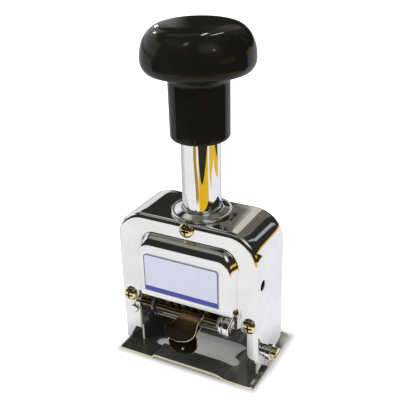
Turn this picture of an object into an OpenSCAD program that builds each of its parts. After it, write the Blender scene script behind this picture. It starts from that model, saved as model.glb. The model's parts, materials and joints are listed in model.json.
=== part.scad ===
// Hand numbering machine: a sprung plunger carries a cage of number wheels down
// through a chromed casing and swings the ink pad out of the way.
// Origin: middle of the printed number on the paper. +X right, +Y to the back, +Z up.

/* [Casing] */
// Width of the casing over both side walls
case_w = 61.8; // [58:0.2:66]
// Depth of the casing, front flange to back flange
case_d = 26.1; // [24:0.1:32]
// Height of the casing top above the paper
case_h = 62.5; // [60:0.5:70]
// Distance of the casing's middle to the right of the plunger
case_offset = -1.2; // [-1.2:0.1:1.2]
// Radius of the two shoulders
shoulder_r = 12.1; // [8:0.1:16]
// Thickness of the casing sheet
case_t = 1.2; // [0.8:0.1:1.5]
// Chamfer on the front and back outlines of the casing
case_chamfer = 1.2; // [0.6:0.1:1.6]
// Width of the raised front panel at its face
panel_w = 40.6; // [38:0.2:42]
// How far the front panel stands out of the casing
panel_raise = 3.8; // [3:0.1:5]
// Height of the panel's lower edge above the paper
panel_bottom = 28.4; // [27:0.1:30]
// Distance of the panel's flat face below the casing's top
panel_drop = 10.9; // [9:0.1:13]
// Sideways run of the panel's steep side bevels
panel_run = 1.6; // [1:0.1:3]
// Width of the left front leg
left_flange_w = 8.2; // [7:0.1:9]
// Width of the right front leg above its step
right_flange_w = 8.6; // [7.5:0.1:9]
// Width of the left leg from the casing's side to the inner face of the ear
left_leg_w = 8.8; // [8:0.1:9.5]
// Width of the right leg from the casing's side to the inner face of the ear
right_leg_w = 4.8; // [4.6:0.1:5.6]
// Height of the step in the right leg
leg_step_z = 20.5; // [18:0.5:21]
// Height of the lower corners of the front legs
leg_corner_z = 6.8; // [5:0.1:9]
// Rounding of the lower corner of the right front leg
leg_corner_r = 2.2; // [1:0.1:3]
// Width of the left front leg at its foot, below the slanted corner
left_foot_w = 2.9; // [2:0.1:4]
// Width of the opening in the back of the casing
back_gap_w = 45; // [40:0.5:46]
// Height of the opening in the back of the casing
back_gap_h = 44; // [43:0.5:50]
// Radius of the access hole in each side wall
side_hole_r = 2.2; // [1:0.1:3]
// Height of the access hole
side_hole_z = 40.7; // [36:0.1:46]

/* [Label] */
// Width of the label plate
label_w = 33.0; // [28:0.2:36]
// Margin between the label's upper edge and the top of the panel's face
label_head = 3.9; // [2:0.1:5]
// Thickness of the label plate
label_t = 0.4; // [0.3:0.1:0.8]
// Distance of the label's middle to the right of the plunger
label_offset = -1.3; // [-2:0.1:2]
// Height of the label's lower edge above the panel's lower edge
label_rise = 2.6; // [1.5:0.1:4]
// Radius of the label's two upper corners
label_corner_r = 1.6; // [1:0.1:2.5]

/* [Base] */
// Width of the base plate
base_w = 61.2; // [60:0.1:64]
// Depth of the base plate
base_d = 39.4; // [38:0.2:46]
// Thickness of the base plate
base_t = 1.0; // [0.8:0.1:1.2]
// Distance of the base plate's middle to the right of the plunger
base_offset = 0.5; // [0:0.1:1]
// How far the middle of the plate is raised off the paper
base_raise = 1.4; // [1:0.1:1.6]
// Radius of three of the base plate's corners
base_corner_r = 2.4; // [1:0.1:4]
// Radius of the base plate's front left corner
base_left_r = 1.0; // [0.6:0.1:3]
// Distance of the print window's middle to the right of the plunger
window_offset = 0.8; // [0:0.1:1]
// Width of the print window between the tips of its two teeth
window_w = 32.6; // [30:0.2:34]
// Distance of the window's front edge in front of the print line
window_front = 7.3; // [7:0.1:8]
// Distance of the window's back edge behind the print line
window_back = 7.3; // [7:0.1:8]
// Radius of the round lobes at the two ends of the window
lobe_r = 2.9; // [2.4:0.1:3.2]
// Thickness of the ears
ear_t = 1.0; // [0.8:0.1:1.2]

/* [Plunger] */
// Travel of the plunger from rest to the print
stroke = 18; // [15:0.1:18]
// Distance of the plunger's axis behind the print line
plunger_y = 4.8; // [4.8:0.1:5.2]
// Outer radius of the plunger tube
tube_r = 7.66; // [7:0.02:7.7]
// Wall of the plunger tube
tube_wall = 1.4; // [1:0.1:2]
// Running clearance of the tube in the bush
tube_clear = 0.06; // [0.03:0.01:0.1]
// Height of the neck's lower end
neck_z = 93.4; // [92:0.2:98]
// Radius of the knob's neck
neck_r = 11.4; // [11:0.1:12]
// Height at which the neck meets the head of the knob
head_z = 115.2; // [114:0.2:117]
// Greatest radius of the knob
knob_r = 21.1; // [19:0.1:23]
// Height of the greatest radius
knob_wide_z = 123.3; // [121:0.1:125]
// Height of the top of the knob
knob_top = 136.2; // [134:0.2:139]
// Radius of the cap in the top of the knob
cap_r = 16.8; // [14:0.2:17.2]
// Outer radius of the collar on the casing
collar_r = 12.06; // [11.4:0.02:12.6]
// Height of the collar above the casing
collar_h = 2.4; // [2:0.1:3.5]

/* [Number wheels] */
// Distance from one wheel to the next
wheel_pitch = 3.5; // [3.3:0.1:3.5]
// Distance of a wheel's ten flats from its axis
wheel_flat = 9.75; // [9.5:0.05:9.8]
// Height of the raised figures on the flats
figure_h = 0.45; // [0.3:0.05:0.5]
// Width of a ratchet between two wheels
ratchet_w = 0.9; // [0.7:0.1:1]
// Radius of the ratchet teeth
ratchet_r = 8.0; // [7.5:0.1:8]
// Radius of the wheels' axle
axle_r = 2.2; // [1.8:0.1:2.4]
// Running clearance of bores on their pins
pin_clear = 0.05; // [0.03:0.01:0.08]

/* [Ink pad] */
// Length of the ink pad along the print line
pad_w = 23.6; // [22:0.2:24]
// Depth of the ink pad
pad_d = 10.8; // [9:0.2:11]
// Thickness of the ink pad
pad_t = 1.2; // [1:0.1:1.4]
// Gap between the pad and the resting wheels
pad_gap = 0.3; // [0.25:0.05:0.4]
// Distance of the pad shaft in front of the wheels' axle
shaft_y = 10.5; // [10.4:0.1:10.8]
// Distance of the pad shaft below the wheels' axle
shaft_drop = 5.1; // [5:0.1:5.4]
// Radius of the pad shaft
shaft_r = 1.4; // [1.2:0.05:1.4]
// Radius of the roller at the right end of the pad shaft
roller_r = 4.6; // [4:0.1:4.6]
// Width of the finger tabs
tab_w = 13.4; // [11:0.2:14]
// Thickness of the tab sheet
tab_t = 0.8; // [0.6:0.1:0.9]

/* [Fasteners] */
// Head radius of the casing screws
screw_head_r = 3.0; // [2.6:0.1:3]
// Shank radius of the casing screws
screw_r = 1.5; // [1.2:0.1:1.6]
// Distance of the left casing screw from the casing's side
left_screw_in = 4.3; // [4.1:0.1:4.6]
// Distance of the right casing screw from the casing's side
right_screw_in = 3.5; // [3.3:0.1:4]
// Distance of the top casing screw below the casing's top
top_screw_drop = 2.5; // [2.2:0.1:3]
// Height of the two lower casing screws
screw_z = 23.8; // [23.4:0.1:25]
// Height of the side screws
side_screw_z = 10.6; // [9:0.1:12]

/* [Hidden] */
$fn = 64;

wheel_count = 6;
tooth_deep = 1.3;       // depth of the ratchet teeth
seat = 0.05;            // gap between faces that only lie against each other
far = 45;               // half length of cutters that pass right through
over = 1;               // how far a cutter runs past the face that it cuts
front_y = plunger_y - case_d / 2;
back_y = plunger_y + case_d / 2;
wall_left = case_offset - case_w / 2;
wall_right = case_offset + case_w / 2;
axle_z = stroke + wheel_flat + figure_h + 0.2;
panel_y = front_y - panel_raise;
panel_face_h = case_h - panel_drop - panel_bottom;
label_h = panel_face_h - label_rise - label_head;
left_edge = wall_left + left_flange_w;     // inner edges of the two front legs
right_edge = wall_right - right_flange_w;
base_left = base_offset - base_w / 2;
base_right = base_offset + base_w / 2;
base_front = plunger_y - 0.98 - base_d / 2;
base_corners = [[base_corner_r, base_corner_r], [base_corner_r, base_left_r]];
foot_left = -14.0;      // where the left foot of the base ends and the raised part begins
foot_right = 21.1;      // where the right foot begins
ramp = 7.6;             // length of the soft ramp beside the right foot
tooth_w = 2.2;          // how far the window's back corners lie outside the tips of its teeth
crease = 0.6;           // half the length of the sharp ramp beside the left foot
wall_foot_z = base_t + seat;
recess_front = -0.5;    // the side recesses of the base plate, which the casing walls pass
recess_back = 11.6;
recess_depth = 2.7;      // of the left recess
recess_gap = 0.15;       // gap between the right wall and its recess
ear_front = front_y + case_t + seat;
ear_step_y = -0.5;      // the ears are low in front of this line and tall behind it
ear_back = 14.0;
ear_low_z = 16.6;
peen_y = -6.8;          // small lug beside the right wall
peen_r = 1.35;
lug_top = 11;            // top of the lugs that close the legs below the front flanges
ear_high_z = 42;
ear_in_left = wall_left + left_leg_w;
ear_in_right = wall_right - right_leg_w;
ear_run = 0.3;           // gap between the guide shoes and the ears
ear_hole_y = 4.5;        // access hole in each ear
ear_hole_z = 30;
ear_hole_r = 3.2;
side_screw_y = -3.2;
wheels_x0 = -wheel_count * wheel_pitch / 2;
cheek_in = -wheels_x0 + 0.4;
cheek_t = 1.2;
feed_in = cheek_in + cheek_t + 0.3;
feed_t = 1.0;
arm_in = feed_in + feed_t + 0.9;
arm_t = 1.0;
axle_half = arm_in + arm_t + 0.9;
bridge_rise = 10.7;      // height of the bridge above the wheels' axle
bridge_z = axle_z + bridge_rise;
bridge_t = 3.0;
bridge_fore = 4.8;       // reach of the bridge in front of and behind the plunger
bridge_aft = 8.2;
bridge_front = plunger_y - bridge_fore;
bridge_back = plunger_y + bridge_aft;
shoe_t = 1.2;            // thickness of the left guide shoe
wing_t = 1.2;
wing_x = -ear_in_left - ear_run - shoe_t - seat - wing_t;
stud_in = 1.2;           // place of the stud on the left front leg
stud_z = 18.6;
wing_z = stroke + 2.8;
shoe_front = 1.4;
shoe_back = 12.4;
stop_gap = 0.25;         // gap between the stop ring and the bridge at rest
stop_t = 1.0;
stop_bore = 0.2;         // room between the stop ring and the tube
pin_rise = 0.7;          // wall of the sleeve below the spring pin
slot_gap = 0.2;          // room of the tube's slot round the spring pin
slot_end = 0.6;          // room at the slot's end
sleeve_z = bridge_z + bridge_t + stop_gap + stop_t;
sleeve_wall = 1.9;
sleeve_r = tube_r + tube_clear + sleeve_wall;
spring_pin_r = 1.0;
spring_pin_z = sleeve_z + spring_pin_r + pin_rise;
bore_top = knob_top - 23.6;
plug_h = 4.5;
knob_screw_r = 2.0;
feed_reach = 13.0;      // distance of the feed rod from the wheels' axle
feed_rest = 20;         // angle of the feed arm above the level at rest
feed_rod_r = 1.1;
feed_rod_y = feed_reach * cos(feed_rest);
feed_rod_z = axle_z + feed_reach * sin(feed_rest);
pad_floor = wheel_flat + figure_h + pad_gap + 0.05 + pad_t;
tray_t = 0.6;
lip_t = 0.6;            // lips along the tray
lip_h = 0.8;
rail_y = 9.6;           // bright rail between the carrier's arms, below the shaft
rail_drop = 9.5;
rail_r = 0.5;
tray_half = pad_d / 2 + 0.8;
tray_z = axle_z - pad_floor - tray_t;
shaft_z = axle_z - shaft_drop;
roller_in = arm_in + arm_t + 0.3;
shaft_right = right_edge - 0.65;
roller_w = shaft_right - 0.25 - roller_in;
shaft_left = ear_in_left + 0.4;
head_r = 2.7;           // slotted head of the pad shaft
head_deep = 1.0;
barrel_r = 2.1;         // hook of the upper tab round the pad shaft
hook_x0 = -1.2;
hook_x1 = 8.0;
upper_shift = -0.5;     // the upper tab's leaf lies a little to the left
pinch = 10;             // how far the upper tab can be squeezed, in degrees
wheel_room = wheel_flat / cos(18) + 0.2;
cap_t = 3.6;
head_hole = 3.2;        // depth of the hole for the knob screw's head
spring_wire = 0.55;
spring_turns = 15;
spring_mean = 4.8;
spring_steps = 12 * spring_turns;
spring_foot = spring_pin_z + spring_pin_r + spring_wire + 0.05;
spring_head = bore_top - plug_h - spring_wire - 0.05;
finger_t = 0.4;         // fingers of the detent comb and the pawl
selector_x = -wing_x + 1.6;
selector_w = 5.4;        // index plate of the repeat lever
selector_t = 0.8;
selector_foot = 6.5;
selector_r = 1.2;
selector_z = 32;
// side views (y, z) of the two finger tabs; the upper one is measured from the pad shaft
lower_root = tray_z - seat - tab_t / 2;
lower_line = [[-4, lower_root], [-9.5, lower_root], [-15.2, 13.4], [-16.6, 6.4]];
lower_end = 7.7;         // height of the lower tab's tip
lower_round = 4.6;       // height of its round end
upper_line = [[-1.9, 0.9], [-2.2, -3.0], [-4.8, -5.2], [-8.5, -7.9]];
screw_head_t = 1.9;
screw_reach = 6;         // shank length of the two lower casing screws
block_d = 5.2;           // depth of the leg blocks
// place (x, z) and shank length of each casing screw
case_screws_at = [
    [0, case_h - top_screw_drop, case_t],
    [wall_left + left_screw_in, screw_z, screw_reach],
    [wall_right - right_screw_in, screw_z, screw_reach]
];

// ---- shared shapes ----

// Upright slab with two rounded shoulders, standing on z = 0, from y = 0 to y = d.
module arch(w, h, r, d) {
    difference() {
        translate([-w / 2, 0, 0]) cube([w, d, h]);
        for (side = [-1, 1])
            translate([side * (w / 2 - r), -over, h - r])
                difference() {
                    translate([side > 0 ? 0 : -r - over, 0, 0]) cube([r + over, d + 2 * over, r + over]);
                    translate([0, -over, 0]) rotate([-90, 0, 0]) cylinder(r = r, h = d + 4 * over);
                }
    }
}

// What a chamfer of size c takes off an outer corner; u points outwards, v into the slab.
function corner_waste(c) = [[-c - over, -over], [over, -over], [over, c + over]];

// Cutter for the chamfer along one face of an arch.
module arch_chamfer(w, h, r, c) {
    for (side = [0, 1])
        mirror([side, 0, 0]) {
            translate([w / 2, 0, -over]) linear_extrude(h - r + over) polygon(corner_waste(c));
            translate([w / 2 - r, 0, h - r]) rotate([-90, 0, 0]) rotate([0, 0, -90])
                rotate_extrude(angle = 90) translate([r, 0]) polygon(corner_waste(c));
        }
    translate([-w / 2 + r, 0, h]) rotate([90, 0, 90]) linear_extrude(w - 2 * r)
        polygon([for (p = corner_waste(c)) [p[1], p[0]]]);
}

// Raised panel: flat face, sloping top and steep sides, standing out from y = 0 to -raise.
module panel_form(w, run, raise, bottom, face_h, r) {
    intersection() {
        translate([-w, 0, 0]) rotate([90, 0, 90]) linear_extrude(2 * w)
            polygon([[over, bottom], [-raise, bottom], [-raise, bottom + face_h],
                     [over, bottom + face_h + raise + over]]);
        translate([0, 0, bottom]) linear_extrude(face_h + 2 * raise)
            polygon([[-w / 2, -raise], [w / 2, -raise],
                     [w / 2 + run + 0.4, over], [-w / 2 - run - 0.4, over]]);
        translate([0, -raise - over, 0])
            arch(w + 2 * run + 0.8, bottom + face_h + raise, r, raise + 2 * over);
    }
}

// Round body along X from x0 to x1 at height z and depth y.
module rod_x(x0, x1, y, z, r) {
    translate([x0, y, z]) rotate([0, 90, 0]) cylinder(r = r, h = x1 - x0);
}

// Shape drawn in (y, z) and run along X from x0 to x1.
module along_x(x0, x1) {
    translate([x0, 0, 0]) rotate([90, 0, 90]) linear_extrude(x1 - x0) children();
}

// Pan head screw with a cross recess: head on z > 0, shank below.
module pan_screw(shank) {
    difference() {
        union() {
            intersection() {
                cylinder(r = screw_head_r, h = screw_head_t);
                translate([0, 0, -2.6]) sphere(r = 4.5);
            }
            translate([0, 0, -shank]) cylinder(r = screw_r, h = shank + 0.1);
        }
        for (turn = [0, 90])
            rotate([0, 0, turn]) translate([-1.7, -0.35, 0.9]) cube([3.4, 0.7, 2]);
    }
}

// ---- casing and what is fixed to it ----

module casing_outer() {
    difference() {
        translate([case_offset, front_y, 0]) arch(case_w, case_h, shoulder_r, case_d);
        translate([case_offset, front_y, 0]) arch_chamfer(case_w, case_h, shoulder_r, case_chamfer);
        translate([case_offset, back_y, 0]) mirror([0, 1, 0])
            arch_chamfer(case_w, case_h, shoulder_r, case_chamfer);
    }
    translate([0, front_y, 0]) panel_form(panel_w, panel_run, panel_raise, panel_bottom, panel_face_h, 5);
}

module casing_hollow() {
    translate([case_offset, front_y + case_t, -over])
        arch(case_w - 2 * case_t, case_h - case_t + over, shoulder_r - case_t, case_d - 2 * case_t);
    translate([0, front_y + case_t, -over])
        panel_form(panel_w - 2 * case_t, panel_run, panel_raise, 0,
                   panel_bottom + panel_face_h - case_t * 0.41 + over, 4);
}

// Cut that frees the lower end of the right front leg, with a rounded inner corner left on it.
module right_leg_cut(x_in, x_out) {
    difference() {
        translate([x_in - over, front_y - over, -over])
            cube([x_out - x_in + over, case_t + over + 0.05, leg_corner_z + leg_corner_r + over]);
        translate([x_in + leg_corner_r, front_y - 2 * over, leg_corner_z])
            cube([far, case_t + 4 * over, far]);
        translate([x_in + leg_corner_r, front_y - 2 * over, leg_corner_z + leg_corner_r])
            rotate([-90, 0, 0]) cylinder(r = leg_corner_r, h = case_t + 4 * over);
    }
}

// Slanted cut across the lower inner corner of the left front leg.
module left_leg_cut() {
    translate([0, front_y + case_t + 0.05, 0]) rotate([90, 0, 0]) linear_extrude(case_t + over + 0.05)
        polygon([
            [left_edge + over, -over], [left_edge + over, leg_corner_z + 0.9],
            [left_edge, leg_corner_z + 0.9], [left_edge - 0.5, leg_corner_z - 0.3],
            [wall_left + left_foot_w + 1.1, wall_foot_z + 2.4], [wall_left + left_foot_w, wall_foot_z + 0.9],
            [wall_left + left_foot_w - 0.6, -over]
        ]);
}

module casing_shell() {
    color("gainsboro") difference() {
        casing_outer();
        casing_hollow();
        // front opening between the legs, with the step in the right leg
        translate([left_edge, panel_y - over, -over])
            cube([right_edge - left_edge, panel_raise + case_t + over + 0.05, panel_bottom + over]);
        translate([0, panel_y - over, -over])
            cube([ear_in_right + 0.4, panel_raise + case_t + over + 0.05, leg_step_z + over]);
        left_leg_cut();
        right_leg_cut(ear_in_right + 0.4, wall_right - case_t);
        // back opening
        translate([0, back_y - case_t - over, -over])
            arch(back_gap_w, back_gap_h + over, 6, case_t + 2 * over);
        // hole for the bush
        translate([0, plunger_y, case_h - 2 * case_t]) cylinder(r = sleeve_r + seat, h = 4 * case_t);
        // feet of the side walls, and the slit under each side screw
        translate([wall_left - over, front_y - over, -over])
            cube([case_w + 2 * over, recess_front - front_y + over + 0.1, wall_foot_z + over]);
        translate([wall_left - over, recess_back - 0.1, -over])
            cube([case_w + 2 * over, back_y, wall_foot_z + over]);
        translate([wall_left - over, front_y, -over]) cube([case_w + 2 * over, case_d, 0.3 + over]);
        translate([wall_left - over, recess_front - 0.5, -over])
            cube([case_w + 2 * over, 1.0, side_screw_z - 6 + over]);
        // access holes and side screw holes
        rod_x(wall_left - over, wall_right + over, -3.6, side_hole_z, side_hole_r);
        rod_x(wall_left - over, wall_right + over, side_screw_y, side_screw_z, screw_r + seat);
        // front screw holes
        for (place = case_screws_at)
            translate([place[0], front_y - over, place[1]]) rotate([-90, 0, 0])
                cylinder(r = screw_r + seat, h = case_t + over + 0.1);
    }
}

module label_plate() {
    color("lavender") translate([label_offset, panel_y, panel_bottom + label_rise]) rotate([90, 0, 0])
        linear_extrude(label_t) rounded_rect(label_w, label_h, [[label_corner_r, 0], [label_corner_r, 0]]);
}

// Rectangle centred on x, standing on y = 0. Its corner radii, [far, near] for the right and
// then for the left side, are 0 where a corner stays sharp.
module rounded_rect(w, h, radii) {
    difference() {
        translate([-w / 2, 0]) square([w, h]);
        for (sx = [0, 1], sy = [0, 1])
            if (radii[sx][sy] > 0) {
                r = radii[sx][sy];
                translate([0, h / 2]) mirror([sx, 0]) mirror([0, sy]) translate([w / 2 - r, h / 2 - r])
                    difference() {
                        square([r + over, r + over]);
                        circle(r = r);
                    }
            }
    }
}

// Cross-section of the base plate: flat feet and a raised middle.
module base_section() {
    polygon([
        [base_left - over, 0], [foot_left - crease, 0], [foot_left + crease, base_raise],
        [foot_right - ramp, base_raise], [foot_right - ramp * 0.74, base_raise * 0.85],
        [foot_right - ramp * 0.29, base_raise * 0.15], [foot_right, 0], [base_right + over, 0],
        [base_right + over, base_t], [foot_right, base_t],
        [foot_right - ramp * 0.29, base_t + base_raise * 0.15],
        [foot_right - ramp * 0.74, base_t + base_raise * 0.85], [foot_right - ramp, base_t + base_raise],
        [foot_left + crease, base_t + base_raise], [foot_left - crease, base_t], [base_left - over, base_t]
    ]);
}

module base_ear(x, side) {
    difference() {
        translate([side > 0 ? x : x - ear_t, ear_front, base_t / 2])
            cube([ear_t, ear_back - ear_front, ear_high_z - base_t / 2]);
        translate([x - 2, ear_front - over, ear_low_z])
            cube([4, ear_step_y - ear_front + over, ear_high_z]);
        rod_x(x - 3, x + 3, side_screw_y, side_screw_z, screw_r + seat);
        rod_x(x - 3, x + 3, ear_hole_y, ear_hole_z, ear_hole_r);
    }
}

// Upturned lug behind each front flange.
module base_lug(x0, x1) {
    translate([x0, ear_front, base_t / 2]) cube([x1 - x0, ear_t, lug_top - base_t / 2]);
}

module base_plate() {
    color("dimgray") {
        difference() {
            translate([0, base_front + base_d, 0]) rotate([90, 0, 0]) linear_extrude(base_d) base_section();
            difference() {
                translate([base_left - 3, base_front - 3, -over]) cube([base_w + 6, base_d + 6, 6]);
                translate([base_offset, base_front, -2 * over])
                    linear_extrude(8) rounded_rect(base_w, base_d, base_corners);
            }
            translate([window_offset, 0, -over]) linear_extrude(6) print_window();
            translate([base_left - over, recess_front, -over])
                cube([recess_depth + over, recess_back - recess_front, 6]);
            translate([wall_right - case_t - recess_gap, recess_front, -over])
                cube([base_right - wall_right + case_t + recess_gap + over, recess_back - recess_front, 6]);
        }
        base_ear(ear_in_left, -1);
        base_ear(ear_in_right, 1);
        base_lug(base_left + 0.4, ear_in_left);
        base_lug(ear_in_right, wall_right - case_t - seat);
        // small peened lug beside the right wall
        translate([wall_right + 0.15, peen_y, base_t - 0.1])
            intersection() {
                rotate([0, 90, 0]) cylinder(r = peen_r, h = base_right - wall_right - 0.25);
                translate([0, -peen_r - over, 0]) cube([case_t * 4, 2 * (peen_r + over), peen_r + over]);
            }
    }
}

// Print window, centred on x: round lobes in front and sloping sides behind leave a
// pointed tooth at each side, on the foot line of the figures.
module print_window() {
    polygon([
        [-window_w / 2, -window_front], [window_w / 2, -window_front], [window_w / 2, -0.4],
        [window_w / 2 + 0.14 * tooth_w, 0.22 * window_back],
        [window_w / 2 + 0.45 * tooth_w, 0.57 * window_back],
        [window_w / 2 + tooth_w, window_back], [-window_w / 2 - tooth_w, window_back],
        [-window_w / 2 - 0.45 * tooth_w, 0.57 * window_back],
        [-window_w / 2 - 0.14 * tooth_w, 0.22 * window_back], [-window_w / 2, -0.4]
    ]);
    for (side = [-1, 1])
        translate([side * window_w / 2, -window_front + lobe_r]) circle(r = lobe_r);
}

// Brass block in each leg that joins the casing, the ear and the side screw.
module leg_block(x0, x1, z0) {
    difference() {
        translate([x0, ear_front + ear_t + seat, z0])
            cube([x1 - x0, block_d, panel_bottom - 0.6 - z0]);
        rod_x(x0 - over, x1 + over, side_screw_y, side_screw_z, screw_r + seat);
    }
}

module leg_block_left() {
    color("darkgoldenrod") difference() {
        leg_block(wall_left + case_t + seat, ear_in_left - ear_t - seat, leg_corner_z + 0.8);
        front_screw_bore(case_screws_at[1]);
    }
}

module leg_block_right() {
    color("darkgoldenrod") difference() {
        leg_block(ear_in_right + ear_t + seat, wall_right - case_t - seat, base_t + seat);
        front_screw_bore(case_screws_at[2]);
    }
}

module front_screw_bore(place) {
    translate([place[0], front_y - over, place[1]]) rotate([-90, 0, 0]) cylinder(r = screw_r + seat, h = 12);
}

// Bush that guides the plunger: dished collar above, long sleeve below.
module guide_bush() {
    color("silver") translate([0, plunger_y, 0]) difference() {
        rotate_extrude() polygon([
            [tube_r + tube_clear, sleeve_z], [sleeve_r, sleeve_z], [sleeve_r, case_h + seat],
            [collar_r - 0.7, case_h + seat], [collar_r, case_h + 0.6], [collar_r, case_h + 1.5],
            [collar_r - 0.5, case_h + collar_h - 0.3], [collar_r - 1.1, case_h + collar_h],
            [collar_r - 1.8, case_h + collar_h - 0.2], [collar_r - 2.3, case_h + collar_h - 1.0],
            [tube_r + 0.9, case_h + collar_h - 0.7], [tube_r + tube_clear, case_h + collar_h - 0.7]
        ]);
        rod_x(-far, far, 0, spring_pin_z, spring_pin_r + 0.02);
    }
}

module bush_nut() {
    color("darkgoldenrod") translate([0, plunger_y, case_h - case_t - 3.05]) difference() {
        cylinder(r = sleeve_r + 1.6, h = 3);
        translate([0, 0, -over]) cylinder(r = sleeve_r + seat, h = 5);
        for (turn = [0:90:270])
            rotate([0, 0, turn]) translate([sleeve_r + 0.8, -1, -over]) cube([3, 2, 5]);
    }
}

module spring_pin() {
    color("slategray") rod_x(-sleeve_r + 0.1, sleeve_r - 0.1, plunger_y, spring_pin_z, spring_pin_r);
}

module stop_ring() {
    color("black") translate([0, plunger_y, bridge_z + bridge_t + stop_gap]) difference() {
        cylinder(r = sleeve_r, h = stop_t);
        translate([0, 0, -over]) cylinder(r = tube_r + stop_bore, h = stop_t + 2 * over);
    }
}

// Compression spring inside the plunger tube, from the cross pin up to the plug.
function spring_point(t) = [
    spring_mean * cos(360 * spring_turns * t),
    spring_mean * sin(360 * spring_turns * t),
    spring_foot + (spring_head - spring_foot) * t
];
function spring_ring(i) = let (
    t = i / spring_steps,
    a = 360 * spring_turns * t,
    c = spring_point(t)
) [for (k = [0:5]) let (b = 60 * k, out = spring_wire * cos(b))
    [c[0] + out * cos(a), c[1] + out * sin(a), c[2] + spring_wire * sin(b)]];

module return_spring() {
    points = [for (i = [0:spring_steps]) each spring_ring(i)];
    sides = [for (i = [0:spring_steps - 1], k = [0:5])
        [6 * i + k, 6 * i + (k + 1) % 6, 6 * (i + 1) + (k + 1) % 6, 6 * (i + 1) + k]];
    color("gray") translate([0, plunger_y, 0]) polyhedron(
        points = points,
        faces = concat([[5, 4, 3, 2, 1, 0]], [for (f = sides) [f[0], f[1], f[2], f[3]]],
                       [[for (k = [0:5]) 6 * spring_steps + k]])
    );
}

module case_screws() {
    color("goldenrod") for (place = case_screws_at)
        translate([place[0], front_y - seat, place[1]]) rotate([90, 0, 0]) pan_screw(place[2]);
}

// Slotted shoulder screw through the right wall, its block and its ear.
module side_screw() {
    color("goldenrod") difference() {
        union() {
            rod_x(ear_in_right, wall_right + 5, side_screw_y, side_screw_z, screw_r);
            rod_x(wall_right + 4.3, wall_right + 6.5, side_screw_y, side_screw_z, 2.4);
        }
        translate([wall_right + 5.7, side_screw_y - 3, side_screw_z - 0.35]) cube([2, 6, 0.7]);
    }
}

// Two nickel rings under the head of the side screw, the outer one larger.
module side_rings() {
    color("silver") for (ring = [0, 1])
        translate([wall_right + 0.1 + 2.1 * ring, side_screw_y, side_screw_z]) rotate([0, 90, 0])
            difference() {
                cylinder(r = 2.6 + 0.6 * ring, h = 2.05);
                translate([0, 0, -over]) cylinder(r = screw_r + seat, h = 4);
            }
}

// Flat rivet that joins the left wall, its block and its ear.
module side_rivet() {
    color("goldenrod") {
        rod_x(wall_left - 0.1, ear_in_left, side_screw_y, side_screw_z, screw_r);
        rod_x(wall_left - 0.55, wall_left - seat, side_screw_y, side_screw_z, 2.4);
    }
}

// Stud with two rings on the left leg, which the pad spring hooks on.
module latch_stud() {
    color("silver") translate([left_edge - stud_in, front_y - seat, stud_z]) rotate([90, 0, 0])
        rotate_extrude() polygon([
            [0, 0], [1.9, 0], [1.9, 0.9], [1.3, 1.0], [1.3, 1.7], [1.9, 1.8], [1.9, 2.6], [1.5, 2.9], [0, 2.9]
        ]);
}

// ---- plunger and carriage ----

module plunger_tube() {
    color("silver") translate([0, plunger_y, 0]) difference() {
        translate([0, 0, bridge_z + 0.3]) cylinder(r = tube_r, h = bore_top - bridge_z - 0.3);
        translate([0, 0, bridge_z - over]) cylinder(r = tube_r - tube_wall, h = bore_top);
        // slot for the cross pin of the spring, as long as the stroke
        for (end = [0, 1])
            rod_x(-far, far, 0, spring_pin_z + end * (stroke + slot_end), spring_pin_r + slot_gap);
        translate([-far, -spring_pin_r - slot_gap, spring_pin_z])
            cube([2 * far, 2 * (spring_pin_r + slot_gap), stroke + slot_end]);
    }
}

module tube_plug() {
    color("slategray") translate([0, plunger_y, bore_top - plug_h]) difference() {
        cylinder(r = tube_r - tube_wall - 0.02, h = plug_h);
        translate([0, 0, -over]) cylinder(r = knob_screw_r + seat, h = plug_h + 2 * over);
    }
}

// Side of the knob's head, from its underside round the widest line to its top.
function knob_side() = [for (a = [-50:10:70])
    [knob_r - 4.4 + 4.4 * cos(a), knob_wide_z + (a < 0 ? 4.9 : 9.9) * sin(a)]];

module knob() {
    color([0.08, 0.08, 0.08]) translate([0, plunger_y, 0]) difference() {
        rotate_extrude() polygon(concat(
            [[0, neck_z], [neck_r - 1.0, neck_z], [neck_r - 0.2, neck_z + 0.5], [neck_r, neck_z + 1.4]],
            [for (a = [0:15:75]) [neck_r + 0.1 + 6.5 * (1 - cos(a)), head_z + 3.4 * sin(a)]],
            knob_side(),
            [[cap_r + 0.5, knob_top - 1.9], [cap_r + 0.06, knob_top - 1.7], [0, knob_top - 1.7]]
        ));
        translate([0, 0, neck_z - over]) cylinder(r = tube_r + 0.03, h = bore_top - neck_z + over + 0.1);
        translate([0, 0, bore_top - over]) cylinder(r = knob_screw_r + 0.3, h = knob_top - bore_top);
        translate([0, 0, knob_top - cap_t - head_hole]) cylinder(r = 5, h = head_hole + over);
        translate([0, 0, knob_top - cap_t]) cylinder(r = cap_r + 0.06, h = cap_t + over);
    }
}

module knob_cap() {
    color([0.1, 0.1, 0.1]) translate([0, plunger_y, 0]) rotate_extrude()
        polygon(concat([[0, knob_top - cap_t + seat], [cap_r, knob_top - cap_t + seat]],
                       [for (u = [1:-0.2:0]) [cap_r * u, knob_top - 1.6 * u * u]]));
}

module knob_screw() {
    color("slategray") translate([0, plunger_y, 0]) difference() {
        union() {
            translate([0, 0, bore_top - plug_h])
                cylinder(r = knob_screw_r, h = knob_top - cap_t - head_hole + 0.1 - bore_top + plug_h);
            translate([0, 0, knob_top - cap_t - head_hole + seat]) cylinder(r = 4.4, h = 2.8);
        }
        translate([-5, -0.5, knob_top - cap_t - 1.4]) cube([10, 1, 3]);
    }
}

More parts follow.
